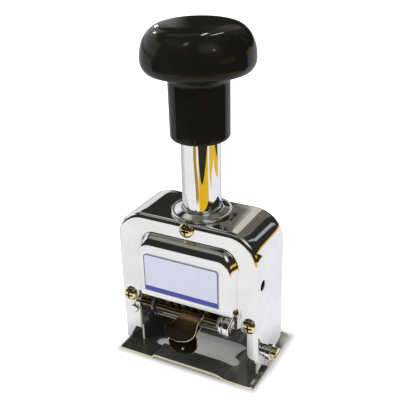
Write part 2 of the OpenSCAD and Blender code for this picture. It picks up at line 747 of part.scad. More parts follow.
// Bridge under the plunger, two cheeks that hold the axle, and two outer wings.
module carriage_yoke() {
    color("lightsteelblue") difference() {
        union() {
            translate([-wing_x - wing_t, bridge_front, bridge_z])
                cube([2 * (wing_x + wing_t), bridge_back - bridge_front, bridge_t]);
            translate([0, plunger_y, bridge_z]) cylinder(r = tube_r + 0.8, h = bridge_t);
            for (side = [-1, 1]) {
                translate([side > 0 ? cheek_in : -cheek_in - cheek_t, -3.6, axle_z - 4])
                    cube([cheek_t, 12, bridge_z - axle_z + 5]);
                translate([side > 0 ? wing_x : -wing_x - wing_t, shoe_front - 0.6, wing_z])
                    cube([wing_t, shoe_back - shoe_front + 1.2, bridge_z - wing_z + 1]);
            }
        }
        rod_x(-cheek_in - 3, cheek_in + 3, 0, axle_z, axle_r + 0.02);
        translate([0, plunger_y, bridge_z - over]) cylinder(r = tube_r + 0.03, h = bridge_t + 2 * over);
    }
}

// Brass shoes on the wings, which run along the ears.
module guide_shoes() {
    color("darkgoldenrod") {
        translate([ear_in_left + ear_run, shoe_front, wing_z])
            cube([shoe_t, shoe_back - shoe_front, bridge_z - wing_z]);
        translate([wing_x + wing_t + seat, shoe_front, wing_z])
            cube([ear_in_right - ear_run - wing_x - wing_t - seat, shoe_back - shoe_front,
                  bridge_z - wing_z]);
    }
}

module wheel_axle() {
    color("silver") difference() {
        rod_x(-axle_half, axle_half, 0, axle_z, axle_r);
        for (side = [-1, 1])
            translate([side * (axle_half - 0.5) - 0.25, 0, axle_z]) rotate([0, 90, 0]) difference() {
                cylinder(r = 4, h = 0.5);
                translate([0, 0, -over]) cylinder(r = axle_r - 0.5, h = 3);
            }
    }
}

module axle_clips() {
    color("dimgray") for (side = [-1, 1])
        translate([side * (axle_half - 0.5) - 0.2, 0, axle_z]) rotate([0, 90, 0]) difference() {
            cylinder(r = 3.3, h = 0.4);
            translate([0, 0, -over]) cylinder(r = axle_r - 0.45, h = 3);
            translate([-0.9, 0, -over]) cube([1.8, 5, 3]);
        }
}

// Spring comb under the bridge: one finger in each ratchet gap.
module detent_comb() {
    color("slategray") {
        translate([wheels_x0, 6.5, bridge_z - 0.65]) cube([-2 * wheels_x0, 5.5, 0.6]);
        for (i = [0:wheel_count - 1])
            along_x(finger_x(i), finger_x(i) + finger_t)
                polygon([[7.4, bridge_z - 0.2], [8.4, bridge_z - 0.2],
                         [6.6, axle_z + 6.0], [5.9, axle_z + 6.3]]);
    }
}
function finger_x(i) = wheels_x0 + wheel_pitch * (i + 1) - seat - ratchet_w / 2 - finger_t / 2;

// One number wheel: ten flats for the figures and a ratchet on its right side.
module number_wheel(i) {
    x0 = wheels_x0 + wheel_pitch * i + seat;
    ring_w = wheel_pitch - ratchet_w - 2 * seat;
    color("khaki") difference() {
        union() {
            along_x(x0, x0 + ring_w) translate([0, axle_z]) rotate(18 + 90)
                circle(r = wheel_flat / cos(18), $fn = 10);
            along_x(x0 + ring_w - 0.1, x0 + ring_w + ratchet_w) translate([0, axle_z])
                polygon([for (k = [0:9]) each [
                    [ratchet_r * cos(36 * k), ratchet_r * sin(36 * k)],
                    [(ratchet_r - tooth_deep) * cos(36 * k + 6), (ratchet_r - tooth_deep) * sin(36 * k + 6)]
                ]]);
            figure_lugs(x0, ring_w);
        }
        rod_x(x0 - over, x0 + wheel_pitch + over, 0, axle_z, axle_r + pin_clear);
    }
}

// Raised blocks that carry the ten figures.
module figure_lugs(x0, ring_w) {
    for (k = [0:9])
        translate([x0 + 0.25, 0, axle_z]) rotate([36 * k, 0, 0])
            translate([0, -1.9, wheel_flat - 0.3]) cube([ring_w - 0.5, 3.8, 0.3 + figure_h * 0.55]);
}

// Swinging arms and rod that carry the feed pawl.
module feed_arm() {
    color("slategray") {
        for (side = [-1, 1])
            difference() {
                along_x(side > 0 ? feed_in : -feed_in - feed_t, side > 0 ? feed_in + feed_t : -feed_in)
                    translate([0, axle_z]) rotate(feed_rest) union() {
                        circle(r = 3.5);
                        translate([0, -1.6]) square([feed_reach, 3.2]);
                        translate([feed_reach, 0]) circle(r = 1.9);
                    }
                rod_x(-far, far, 0, axle_z, axle_r + pin_clear);
            }
        rod_x(-feed_in - 0.1, feed_in + 0.1, feed_rod_y, feed_rod_z, feed_rod_r);
    }
}

// Comb-shaped pawl on the feed rod, one finger for each ratchet.
module feed_pawl() {
    color("gray") difference() {
        union() {
            rod_x(wheels_x0 + 0.2, -wheels_x0 - 0.2, feed_rod_y, feed_rod_z, 2.0);
            for (i = [0:wheel_count - 1])
                along_x(finger_x(i), finger_x(i) + finger_t)
                    translate([0, axle_z]) rotate(feed_rest) polygon([
                        [feed_reach, -1.2], [feed_reach, 1.2],
                        [ratchet_r + 0.9, 0.9], [ratchet_r + 0.35, -0.2]
                    ]);
        }
        rod_x(wheels_x0 - over, over - wheels_x0, feed_rod_y, feed_rod_z, feed_rod_r + pin_clear);
    }
}

// Index plate for the repeat lever, hung on the back of the bridge.
module selector_plate() {
    color("silver") difference() {
        translate([selector_x - selector_w / 2, bridge_back + seat, selector_z - selector_foot])
            cube([selector_w, selector_t, bridge_z + bridge_t - selector_z + selector_foot]);
        translate([selector_x, bridge_back - over, selector_z]) rotate([-90, 0, 0])
            cylinder(r = selector_r + pin_clear, h = selector_t + 3 * over);
    }
}

module selector_lever() {
    color("goldenrod") translate([selector_x, bridge_back + seat, selector_z]) rotate([-90, 0, 0]) {
        cylinder(r = selector_r, h = selector_t + 0.2);
        translate([0, 0, selector_t + 0.15]) cylinder(r = 2.3, h = 0.9);
        translate([-0.6, -3, selector_t + 0.15]) cube([1.2, 3, 0.8]);
        translate([0, -2.9, selector_t + 0.15]) cylinder(r = 0.8, h = 1.8);
    }
}

// ---- ink pad carrier, which swings about the wheels' axle ----

module pad_carrier() {
    color("dimgray") difference() {
        union() {
            for (side = [-1, 1])
                along_x(side > 0 ? arm_in : -arm_in - arm_t, side > 0 ? arm_in + arm_t : -arm_in)
                    translate([0, axle_z]) carrier_side();
            translate([-arm_in - 0.1, -tray_half, tray_z]) cube([2 * arm_in + 0.2, 2 * tray_half, tray_t]);
            for (lip = [-tray_half, tray_half - lip_t])
                translate([-arm_in - 0.1, lip, tray_z]) cube([2 * arm_in + 0.2, lip_t, tray_t + lip_h]);
            rod_x(-arm_in - 0.1, arm_in + 0.1, -rail_y, axle_z - rail_drop, rail_r);
        }
        rod_x(-far, far, 0, axle_z, axle_r + pin_clear);
        rod_x(-far, far, -shaft_y, shaft_z, shaft_r + 0.02);
    }
}

module carrier_side() {
    circle(r = 3.5);
    translate([-shaft_y, -shaft_drop]) circle(r = 2.5);
    translate([-rail_y, -rail_drop]) circle(r = 2 * rail_r);
    polygon([
        [-3.4, 0.8], [3.4, -0.8], [tray_half, -pad_floor + 1.6], [tray_half, -pad_floor - tray_t],
        [-tray_half, -pad_floor - tray_t], [-shaft_y - 0.9, -shaft_drop - 2.3],
        [-shaft_y - 1.2, -shaft_drop + 2.2]
    ]);
}

module ink_pad() {
    color("midnightblue") translate([-pad_w / 2, -pad_d / 2, axle_z - pad_floor + seat])
        cube([pad_w, pad_d, pad_t]);
}

// Shaft across the front of the carrier, with a slotted head at its right end.
module pad_shaft() {
    color("silver") difference() {
        union() {
            rod_x(shaft_left, shaft_right, -shaft_y, shaft_z, shaft_r);
            rod_x(shaft_right - head_deep + seat, shaft_right, -shaft_y, shaft_z, head_r);
        }
        translate([shaft_right - 0.4, -shaft_y - 4, shaft_z - 0.35]) cube([0.8, 8, 0.7]);
    }
}

// Grooved collar pressed on the left end of the shaft.
module shaft_nut() {
    color("silver") translate([0, -shaft_y, shaft_z]) rotate([0, 90, 0]) rotate_extrude() polygon([
        [shaft_r + 0.02, shaft_left], [2.1, shaft_left], [2.4, shaft_left + 0.3], [2.4, shaft_left + 0.9],
        [1.9, shaft_left + 1.0], [1.9, shaft_left + 1.4], [2.4, shaft_left + 1.5], [2.4, shaft_left + 2.3],
        [shaft_r + 0.02, shaft_left + 2.3]
    ]);
}

// Grooved roller between the carrier's right arm and the head of the shaft.
module pad_roller() {
    outer = roller_in + roller_w;
    color("silver") translate([0, -shaft_y, shaft_z]) rotate([0, 90, 0]) rotate_extrude() polygon([
        [shaft_r + pin_clear, roller_in], [roller_r - 0.8, roller_in], [roller_r - 0.5, roller_in + 0.3],
        [roller_r - 0.5, roller_in + 1.3], [roller_r - 1.5, roller_in + 1.5],
        [roller_r - 1.5, roller_in + 2.0], [roller_r, roller_in + 2.2], [roller_r, outer - 0.4],
        [roller_r - 0.4, outer], [head_r + 0.1, outer],
        [head_r + 0.1, shaft_right - head_deep], [shaft_r + pin_clear, shaft_right - head_deep]
    ]);
}

// ---- finger tabs ----

function bezier(p, t) = pow(1 - t, 3) * p[0] + 3 * t * pow(1 - t, 2) * p[1]
    + 3 * t * t * (1 - t) * p[2] + pow(t, 3) * p[3];
function along(p, i) = p[min(i + 1, len(p) - 1)] - p[max(i - 1, 0)];
function beside(p, i, t) = p[i] + t / norm(along(p, i)) * [-along(p, i)[1], along(p, i)[0]];

// Outline of a bent sheet of thickness t along the points p.
function sheet(p, t) = concat([for (i = [0:len(p) - 1]) beside(p, i, t / 2)],
                              [for (i = [len(p) - 1:-1:0]) beside(p, i, -t / 2)]);

// Plan outline of a tab: root from x0 to x1, waist from w0 to w1, and a round end of depth end_d.
module tab_plan(x0, x1, root_y, waist_y, w0, w1, wide_y, end_d) {
    polygon(concat([[x1, root_y], [x1, waist_y + 1.2], [w1, waist_y]],
                   [for (a = [0:-15:-180]) [tab_w / 2 * cos(a), wide_y + end_d * sin(a)]],
                   [[w0, waist_y], [x0, waist_y + 1.2], [x0, root_y]]));
}

// Fixed lower tab: lies under the tray, then drops forwards to its round end.
module lower_tab() {
    color([0.36, 0.32, 0.24]) intersection() {
        along_x(-far, far) polygon(sheet([for (t = [0:0.125:1]) bezier(lower_line, t)], tab_t));
        linear_extrude(axle_z) tab_plan(-4.2, 4.2, -3, -12.4, -4.8, 5.4, -15.2, 4);
        translate([0, -3, 0]) rotate([90, 0, 0]) linear_extrude(far) polygon(concat(
            [[tab_w / 2, axle_z]],
            [for (a = [0:-15:-180]) [tab_w / 2 * cos(a), lower_end + lower_round * (1 + sin(a))]],
            [[-tab_w / 2, axle_z]]
        ));
    }
}

// Spring-loaded upper tab: a hook round the shaft, open towards the wheels, and a leaf
// that curves forwards.
module upper_tab() {
    color([0.42, 0.36, 0.24]) difference() {
        union() {
            rod_x(hook_x0, hook_x1, -shaft_y, shaft_z, barrel_r);
            intersection() {
                along_x(-far, far) translate([-shaft_y, shaft_z])
                    polygon(sheet([for (t = [0:0.125:1]) bezier(upper_line, t)], tab_t));
                linear_extrude(axle_z + 10)
                    translate([upper_shift, 0])
                    tab_plan(hook_x0, hook_x1, -shaft_y, -shaft_y - 2.7, -2.9, 6.6, -shaft_y - 4.7, 3.0);
            }
        }
        rod_x(-far, far, -shaft_y, shaft_z, shaft_r + pin_clear);
        for (turn = [0, -pinch])
            translate([0, -shaft_y, shaft_z]) rotate([turn, 0, 0])
                rod_x(-far, far, shaft_y, shaft_drop, wheel_room);
    }
}

casing_shell();
label_plate();
base_plate();
leg_block_left();
leg_block_right();
guide_bush();
bush_nut();
spring_pin();
stop_ring();
return_spring();
case_screws();
side_screw();
side_rivet();
side_rings();
latch_stud();
plunger_tube();
tube_plug();
knob();
knob_cap();
knob_screw();
carriage_yoke();
guide_shoes();
wheel_axle();
axle_clips();
detent_comb();
number_wheel(0);  // number_wheel_1
number_wheel(1);  // number_wheel_2
number_wheel(2);  // number_wheel_3
number_wheel(3);  // number_wheel_4
number_wheel(4);  // number_wheel_5
number_wheel(5);  // number_wheel_6
feed_arm();
feed_pawl();
selector_plate();
selector_lever();
pad_carrier();
pad_shaft();
pad_roller();
shaft_nut();
ink_pad();
lower_tab();
upper_tab();
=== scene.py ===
"""Hand numbering machine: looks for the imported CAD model.

Shapes are in millimetres; materials, floor, lamps and camera are in metres.
"""
import json
import math

import bmesh
import bpy
from mathutils import Matrix, Vector
from mathutils.geometry import delaunay_2d_cdt

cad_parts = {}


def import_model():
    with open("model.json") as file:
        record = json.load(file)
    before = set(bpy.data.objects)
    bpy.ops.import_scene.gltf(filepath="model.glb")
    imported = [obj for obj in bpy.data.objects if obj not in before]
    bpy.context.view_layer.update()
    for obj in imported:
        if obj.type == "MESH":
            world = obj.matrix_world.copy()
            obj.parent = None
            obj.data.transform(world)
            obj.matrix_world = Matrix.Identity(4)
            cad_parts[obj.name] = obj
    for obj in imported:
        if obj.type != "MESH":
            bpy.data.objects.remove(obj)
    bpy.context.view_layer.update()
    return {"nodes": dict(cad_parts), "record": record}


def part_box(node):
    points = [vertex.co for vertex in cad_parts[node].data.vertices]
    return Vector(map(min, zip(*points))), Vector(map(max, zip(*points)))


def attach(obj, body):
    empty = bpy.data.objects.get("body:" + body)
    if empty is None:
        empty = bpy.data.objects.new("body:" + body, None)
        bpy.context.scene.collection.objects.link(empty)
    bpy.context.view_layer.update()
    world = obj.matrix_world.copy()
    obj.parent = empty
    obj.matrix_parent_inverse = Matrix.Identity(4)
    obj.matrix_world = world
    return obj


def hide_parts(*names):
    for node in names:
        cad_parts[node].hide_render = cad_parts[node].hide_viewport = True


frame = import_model()
NODES = frame["nodes"]
MM = 0.001


# ------------------------------ sizes read from the frame
def edges(node):
    """Low and high corner of a CAD node's box."""
    return [[round(c / MM, 2) for c in corner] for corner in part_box(node)]


def middle(node):
    """Middle of a CAD node's box."""
    return [round((low + high) / 2, 2) for low, high in zip(*edges(node))]


(LEFT, PANEL_FACE, _), (RIGHT, BACK, TOP) = edges("casing_shell")
_, PLUNGER_Y, _ = middle("knob")
_, SHAFT_Y, SHAFT_Z = middle("pad_shaft")
_, _, AXLE_Z = middle("number_wheel_1")
FRONT = round(2 * PLUNGER_Y - BACK, 2)
RAISE = FRONT - PANEL_FACE

# ------------------------------ sizes that repeat the CAD
SHEET = 1.2
BEND = 1.9  # outer radius of the bend round the front and the back of the casing
SHOULDER = 12.1
FOOT_Z = 1.05
PANEL_HALF, PANEL_BOTTOM, PANEL_TOP = 20.3, 28.4, 51.6
PANEL_RUN, PANEL_SLOPE, PANEL_R = 1.6, 3.8, 5.4
LEG_LEFT, LEG_RIGHT, LEG_END, LEG_CORNER = -23.9, 21.1, 6.8, 2.2
STEP_X, STEP_Z = 25.3, 20.5
GAP_TOP = 26.6  # lower edge of the front between the left leg and the panel
LEG_SLANT = [(LEG_LEFT, 8.4), (-24.0, 7.6), (-24.25, 6.9), (-24.7, 6.35), (-26.4, 4.95), (-28.1, 3.45),
             (-29.1, 2.05), (-29.4, FOOT_Z)]
SLIT_FRONT, SLIT_TOP = -1.0, 4.6
FOOT_FRONT, FOOT_BACK, FOOT_END = -0.4, 11.5, 0.3  # foot of each wall in its slot of the base plate
SIDE_HOLE_Y, SIDE_HOLE_Z, SIDE_HOLE_R = -3.6, 40.7, 2.2
BUSH_HOLE_R = 9.7
WINDOW_HALF, WINDOW_SIDE, WINDOW_R = 22.5, 38.0, 6.0
SCREWS = [(0.0, 60.0), (-27.8, 23.8), (26.2, 23.8)]
SCREW_DOME, SCREW_SUNK = 4.5, 2.6  # radius of a head's dome, its centre behind the front
WHEELS, WHEEL_PITCH = 6, 3.5
EAR_LEFT, EAR_RIGHT, EAR_FRONT, EAR_BEND_Z = -24.25, -23.36, -7.03, 8.6  # thin end of the left ear

# ------------------------------ sizes of the finer shapes
SIDE_BENDS = (0.9, 1.5)  # radii at the foot and the head of the panel's side slopes
TOP_FOOT_R = 0.6
TOP_BEND_RUN, TOP_BEND_DEG = 4.64, 74.0  # where the panel's upper bend ends, and how far it turns
ARC_STEPS = 14
SIDE_POINTS, CORNER_STEPS = 6, 12
WALL_Z = [LEG_END] + [8.5 + 2.0 * k for k in range(21)]
LOW_Z = [3.0, 5.0]
TOP_X = [5.0 * k for k in range(-3, 4)]
TAB_HALF, TAB_THICK = 6.7, 0.8
NARROWING = 1.2  # length over which a tab narrows from its root to its waist

# seen from above, bearing 0 of the studio points to (AHEAD_X, -AHEAD_Y)
AHEAD_X, AHEAD_Y = 0.48, 0.877
RADIAN = 57.2958  # in degrees


# ------------------------------ node helpers, in metres
class Nodes:
    """A node tree and short ways to wire it."""

    def __init__(self, tree, coord="Object"):
        self.tree = tree
        self.bsdf = tree.nodes.get("Principled BSDF")
        self.coord = self.new("ShaderNodeTexCoord").outputs[coord]

    def new(self, kind, **inputs):
        node = self.tree.nodes.new(kind)
        for key, value in inputs.items():
            self.put(node.inputs[key.replace("_", " ")], value)
        return node

    def put(self, socket, value):
        if isinstance(value, bpy.types.NodeSocket):
            self.tree.links.new(value, socket)
        else:
            socket.default_value = value

    def set(self, **inputs):
        for key, value in inputs.items():
            if isinstance(value, tuple) and len(value) == 3:
                value = (*value, 1)
            self.put(self.bsdf.inputs[key.replace("_", " ")], value)

    def math(self, op, a, b=0.0, c=0.0, clamp=False):
        node = self.new("ShaderNodeMath")
        node.operation, node.use_clamp = op, clamp
        for socket, value in zip(node.inputs, (a, b, c)):
            self.put(socket, value)
        return node.outputs[0]

    def linear(self, value, gain, base):
        """value * gain + base"""
        return self.math("MULTIPLY_ADD", value, gain, base)

    def over(self, value, limit):
        return self.math("GREATER_THAN", value, limit)

    def under(self, value, limit):
        return self.math("LESS_THAN", value, limit)

    def add(self, a, b):
        return self.math("ADD", a, b)

    def sub(self, a, b):
        return self.math("SUBTRACT", a, b)

    def mul(self, a, b):
        return self.math("MULTIPLY", a, b)

    def parts(self):
        """X, Y and Z of the place."""
        return self.new("ShaderNodeSeparateXYZ", Vector=self.coord).outputs

    def squares(self, *values):
        """Sum of the squares."""
        total = self.mul(values[0], values[0])
        for value in values[1:]:
            total = self.add(total, self.mul(value, value))
        return total

    def length(self, *values):
        return self.math("SQRT", self.squares(*values))

    def climb(self, value, start, run):
        """0 up to start, 1 from start + run on."""
        return self.math("DIVIDE", self.sub(value, start), run, clamp=True)

    def scaled(self, sx, sy, sz):
        node = self.new("ShaderNodeMapping")
        self.put(node.inputs["Vector"], self.coord)
        node.inputs["Scale"].default_value = (sx, sy, sz)
        return node.outputs[0]

    def noise(self, scale, detail=3.0, vector=None, rough=0.55, distortion=0.0):
        node = self.new("ShaderNodeTexNoise", Scale=scale, Detail=detail, Roughness=rough,
                        Distortion=distortion)
        self.put(node.inputs["Vector"], vector or self.coord)
        return node.outputs["Fac"]

    def band(self, value, low, high, soft):
        """1 between low and high, 0 outside, with edges as wide as soft."""
        up = self.math("DIVIDE", self.sub(value, low), soft)
        down = self.math("DIVIDE", self.sub(high, value), soft)
        return self.mul(self.math("ADD", up, 0.5, clamp=True), self.math("ADD", down, 0.5, clamp=True))

    def both(self, *masks):
        out = masks[0]
        for mask in masks[1:]:
            out = self.mul(out, mask)
        return out

    def bearing(self, x, y):
        """Angle in degrees seen from above, 0 towards the front of the studio, growing to the right."""
        ahead = self.sub(self.mul(x, AHEAD_X), self.mul(y, AHEAD_Y))
        aside = self.add(self.mul(x, AHEAD_Y), self.mul(y, AHEAD_X))
        return self.mul(self.math("ARCTAN2", aside, ahead), RADIAN)

    def specks(self, scale, size):
        """1 in small spots, 0 elsewhere."""
        node = self.new("ShaderNodeTexVoronoi", Scale=scale)
        self.put(node.inputs["Vector"], self.coord)
        return self.ramp(node.outputs["Distance"], [(0.0, 1.0), (size, 0.0)])

    def ramp(self, fac, stops):
        """Stops are (position, grey level or colour)."""
        node = self.new("ShaderNodeValToRGB")
        self.put(node.inputs["Fac"], fac)
        elements = node.color_ramp.elements
        while len(elements) < len(stops):
            elements.new(0.5)
        for element, (pos, level) in zip(elements, stops):
            element.position = pos
            element.color = (*level, 1) if isinstance(level, tuple) else (level, level, level, 1)
        return node.outputs["Color"]

    def mix(self, fac, a, b):
        node = self.new("ShaderNodeMix")
        node.data_type = "RGBA"
        for name, value in (("Factor", fac), ("A", a), ("B", b)):
            if isinstance(value, tuple) and len(value) == 3:
                value = (*value, 1)
            socket = [s for s in node.inputs if s.name == name and s.enabled][0]
            self.put(socket, value)
        return [s for s in node.outputs if s.enabled][0]

    def bump(self, height, distance, strength=1.0, below=None):
        node = self.new("ShaderNodeBump", Height=height, Distance=distance, Strength=strength)
        if below:
            self.put(node.inputs["Normal"], below)
        return node.outputs["Normal"]


def material(name):
    mat = bpy.data.materials.new(name)
    mat.use_nodes = True
    n = Nodes(mat.node_tree)
    n.mat = mat
    return n


def metal(name, color, dark, rough, wave=0.00003, grain=(900.0, 900.0, 5200.0), share=1.0):
    """Polished or plain metal: tarnish in patches, fine scratches and soft ripples."""
    n = material(name)
    patches = n.noise(260.0, 5.0, distortion=0.6)
    fine = n.noise(1.0, 4.0, n.scaled(*grain))
    tone = n.mix(n.ramp(patches, [(0.35, 0.0), (0.8, 0.5)]), color, dark)
    n.set(Base_Color=tone, Metallic=share)
    level = n.linear(fine, rough * 0.8, rough * 0.6)
    n.set(Roughness=n.linear(n.ramp(patches, [(0.5, 0.0), (0.75, 1.0)]), rough * 0.5, level))
    ripple = n.bump(n.noise(70.0, 1.5), wave)
    n.set(Normal=n.bump(fine, 0.000004, 0.5, ripple))
    return n.mat


def chrome():
    """Mirror plate: very smooth, softly rippled, with dust, hairlines and a few small pits."""
    n = material("chrome")
    dust = n.specks(520.0, 0.13)
    hair = n.noise(1.0, 5.0, n.scaled(3000.0, 900.0, 420.0), distortion=0.4)
    patches = n.noise(75.0, 4.0, distortion=0.8)
    tone = n.mix(n.ramp(patches, [(0.42, 0.0), (0.75, 0.7)]), (0.82, 0.82, 0.825), (0.70, 0.70, 0.705))
    n.set(Base_Color=n.mix(n.mul(dust, 0.3), tone, (0.5, 0.5, 0.48)), Metallic=1.0)
    rough = n.linear(n.ramp(hair, [(0.62, 0.0), (0.75, 1.0)]), 0.05, 0.03)
    n.set(Roughness=n.linear(dust, 0.15, rough))
    ripple = n.bump(n.noise(38.0, 0.0), 0.00003)
    n.set(Normal=n.bump(hair, 0.0000006, 0.4, ripple))
    return n.mat


def base_steel():
    """Dark plated sheet: calm half gloss, a few marks, painted highlights at two corners, painted shade along
    a crease and to its left, greyer on its ears.
    """
    n = material("base_steel")
    x, y, z = n.parts()
    marks = n.noise(1.0, 4.0, n.scaled(900.0, 260.0, 500.0), distortion=0.5)
    tone = n.mix(n.noise(120.0, 4.0), (0.095, 0.095, 0.092), (0.13, 0.13, 0.125))
    ears = n.band(z, 0.010, 1.0, 0.006)
    tone = n.mix(ears, tone, (0.26, 0.255, 0.245))
    # painted shade: a dark crease line that starts at the step in the front edge, and the plate painted
    # darker to its left
    past = n.add(n.add(x, 0.0134), n.mul(n.add(y, 0.0167), 0.157))
    left_end = n.band(past, -1.0, 0.0, 0.0006)
    crease_shade = n.band(past, -0.0003, 0.0002, 0.0003)
    tone = n.mix(n.mul(left_end, 0.5), tone, (0.035, 0.035, 0.034))
    tone = n.mix(n.mul(crease_shade, 0.8), tone, (0.012, 0.012, 0.012))
    # painted highlights: pale over the rear right corner and a small spot at the front right corner
    rear_corner = n.both(n.band(x, 0.029, 1.0, 0.006), n.band(y, 0.014, 1.0, 0.008))
    front_corner = n.both(n.band(x, 0.0292, 0.0303, 0.0006), n.band(y, -0.0135, -0.0105, 0.0015))
    rubbing_and_highlight = n.math("MAXIMUM", n.mul(rear_corner, 0.9), front_corner)
    n.set(Base_Color=n.mix(rubbing_and_highlight, tone, (0.80, 0.80, 0.77)), Metallic=0.62)
    n.set(Roughness=n.linear(n.ramp(marks, [(0.5, 0.0), (0.8, 1.0)]), 0.12, 0.15))
    n.set(Normal=n.bump(marks, 0.000002, 0.5))
    return n.mat


def pale_edge():
    """Cut edge of the plated sheet, which catches the light."""
    n = material("pale_edge")
    wear = n.noise(700.0, 3.0)
    n.set(Base_Color=n.mix(wear, (0.80, 0.78, 0.66), (0.62, 0.58, 0.44)), Metallic=0.15)
    n.set(Roughness=n.linear(wear, 0.2, 0.35))
    return n.mat


def gloss_black():
    """Moulded black phenolic: gloss, duller on the crown, with faint mottling, rubbing marks and dust."""
    n = material("knob_black")
    _, _, height = n.parts()
    marks = n.noise(1.0, 5.0, n.scaled(300.0, 300.0, 2600.0), distortion=1.0)
    mottle = n.noise(190.0, 4.0)
    n.set(Base_Color=n.mix(mottle, (0.006, 0.006, 0.005), (0.012, 0.011, 0.008)), Coat_Roughness=0.04)
    # the neck is smoother than the head above it
    head = n.climb(height, 0.1175, 0.004)
    even = n.linear(head, 0.085, 0.02)
    rubbing_and_highlight = n.ramp(marks, [(0.55, 0.0), (0.8, 1.0)])
    rough = n.linear(rubbing_and_highlight, n.mul(even, 0.8), even)
    n.set(Roughness=n.linear(n.specks(420.0, 0.1), n.mul(even, 2.0), rough))
    # full gloss below the crown, little on it
    gloss = n.math("DIVIDE", n.sub(0.1353, height), 0.0007, clamp=True)
    n.set(Specular_IOR_Level=n.linear(gloss, 0.08, 0.03), Coat_Weight=n.mul(gloss, 0.09))
    n.set(Normal=n.bump(n.noise(60.0, 1.0), 0.00002))
    return n.mat


def soft_black(name, color, scale, depth, rough, sheen):
    """Rubber or felt: matt, with a fine uneven surface."""
    n = material(name)
    fibre = n.noise(scale, 6.0, rough=0.7, distortion=1.2)
    n.set(Base_Color=n.mix(fibre, color, tuple(3.0 * c for c in color)), Sheen_Weight=sheen)
    n.set(Roughness=n.linear(fibre, 0.2, rough), Normal=n.bump(fibre, depth))
    return n.mat


def bronze():
    """Dark bronzed sheet, smooth, with a painted warm highlight where the upper tab bends down."""
    n = material("bronze")
    cloud = n.noise(150.0, 4.0, distortion=0.5)
    fine = n.noise(1.0, 4.0, n.scaled(2600.0, 700.0, 700.0))
    # painted highlight: a warm brown patch where the upper tab bends down
    highlight_at, highlight_reach = (0.0022, -0.0130, 0.0215), (0.0075, 0.0035, 0.0050)
    away = [n.math("DIVIDE", n.sub(place, at), reach)
            for place, at, reach in zip(n.parts(), highlight_at, highlight_reach)]
    painted_highlight = n.math("SUBTRACT", 1.0, n.squares(*away), clamp=True)
    tone = n.mix(cloud, (0.022, 0.019, 0.012), (0.046, 0.036, 0.022))
    n.set(Base_Color=n.mix(n.mul(painted_highlight, 0.7), tone, (0.20, 0.10, 0.045)))
    n.set(Metallic=0.85, Roughness=n.linear(fine, 0.08, 0.18))
    n.set(Normal=n.bump(fine, 0.000001, 0.5, n.bump(n.noise(70.0, 1.5), 0.00002)))
    return n.mat


def label_print(low, high):
    """Pale printed plate: dark outline, blue stripe along the foot, fine print grain; no lettering."""
    n = material("label_print")
    x, _, z = n.parts()
    mid_x, mid_z = (low.x + high.x) / 2, (low.z + high.z) / 2
    half_x, half_z = (high.x - low.x) / 2, (high.z - low.z) / 2
    inset, line, round_r, stripe_top = 0.00022, 0.00022, 0.0014, 0.0024
    # distance from the outline: round corners above the middle, square ones below it
    qx = n.sub(n.math("ABSOLUTE", n.sub(x, mid_x)), half_x - inset - round_r)
    qz = n.sub(n.sub(z, mid_z), half_z - inset - round_r)
    corner = n.length(n.math("MAXIMUM", qx, 0.0), n.math("MAXIMUM", qz, 0.0))
    rounded = n.sub(n.add(corner, n.math("MINIMUM", n.math("MAXIMUM", qx, qz), 0.0)), round_r)
    square = n.math("MAXIMUM", n.sub(qx, round_r), n.sub(low.z + inset, z))
    upper = n.over(z, mid_z)
    dist = n.add(n.mul(rounded, upper), n.mul(square, n.sub(1.0, upper)))
    near = n.math("DIVIDE", n.math("ABSOLUTE", dist), line, clamp=True)
    outlined = n.ramp(near, [(0.7, 1.0), (1.0, 0.0)])
    stripe = n.mul(n.under(dist, -line), n.under(z, low.z + stripe_top))
    grain = n.noise(1500.0, 3.0)
    ground = n.mix(grain, (0.58, 0.59, 0.73), (0.63, 0.64, 0.77))
    ground = n.mix(n.ramp(n.noise(150.0, 4.0), [(0.55, 0.0), (0.75, 0.25)]), ground, (0.70, 0.70, 0.77))
    blue = n.mix(grain, (0.03, 0.042, 0.30), (0.045, 0.06, 0.36))
    tone = n.mix(stripe, ground, blue)
    n.set(Base_Color=n.mix(outlined, tone, (0.02, 0.02, 0.04)), Metallic=0.1)
    n.set(Coat_Weight=0.1, Coat_Roughness=0.2)
    n.set(Roughness=n.linear(grain, 0.1, 0.3), Normal=n.bump(grain, 0.000006))
    return n.mat


def inked_wheel():
    """Brass wheel: worn bright on the raised figures, black with ink between them."""
    n = material("wheel_brass")
    _, y, z = n.parts()
    radius = n.length(n.sub(z, AXLE_Z * MM), y)
    rim = 0.0100
    blotch = n.noise(900.0, 5.0, distortion=1.0)
    worn = n.ramp(n.linear(blotch, 0.0004, radius), [(0.0, 0.0), (1.0, 1.0)])
    raised = n.over(worn, rim)
    ground = n.mix(n.ramp(blotch, [(0.3, 0.0), (0.75, 1.0)]), (0.30, 0.20, 0.08), (0.035, 0.03, 0.035))
    n.set(Base_Color=n.mix(raised, ground, (0.62, 0.47, 0.23)), Metallic=1.0)
    n.set(Roughness=n.linear(blotch, 0.3, 0.2), Normal=n.bump(blotch, 0.00001))
    return n.mat


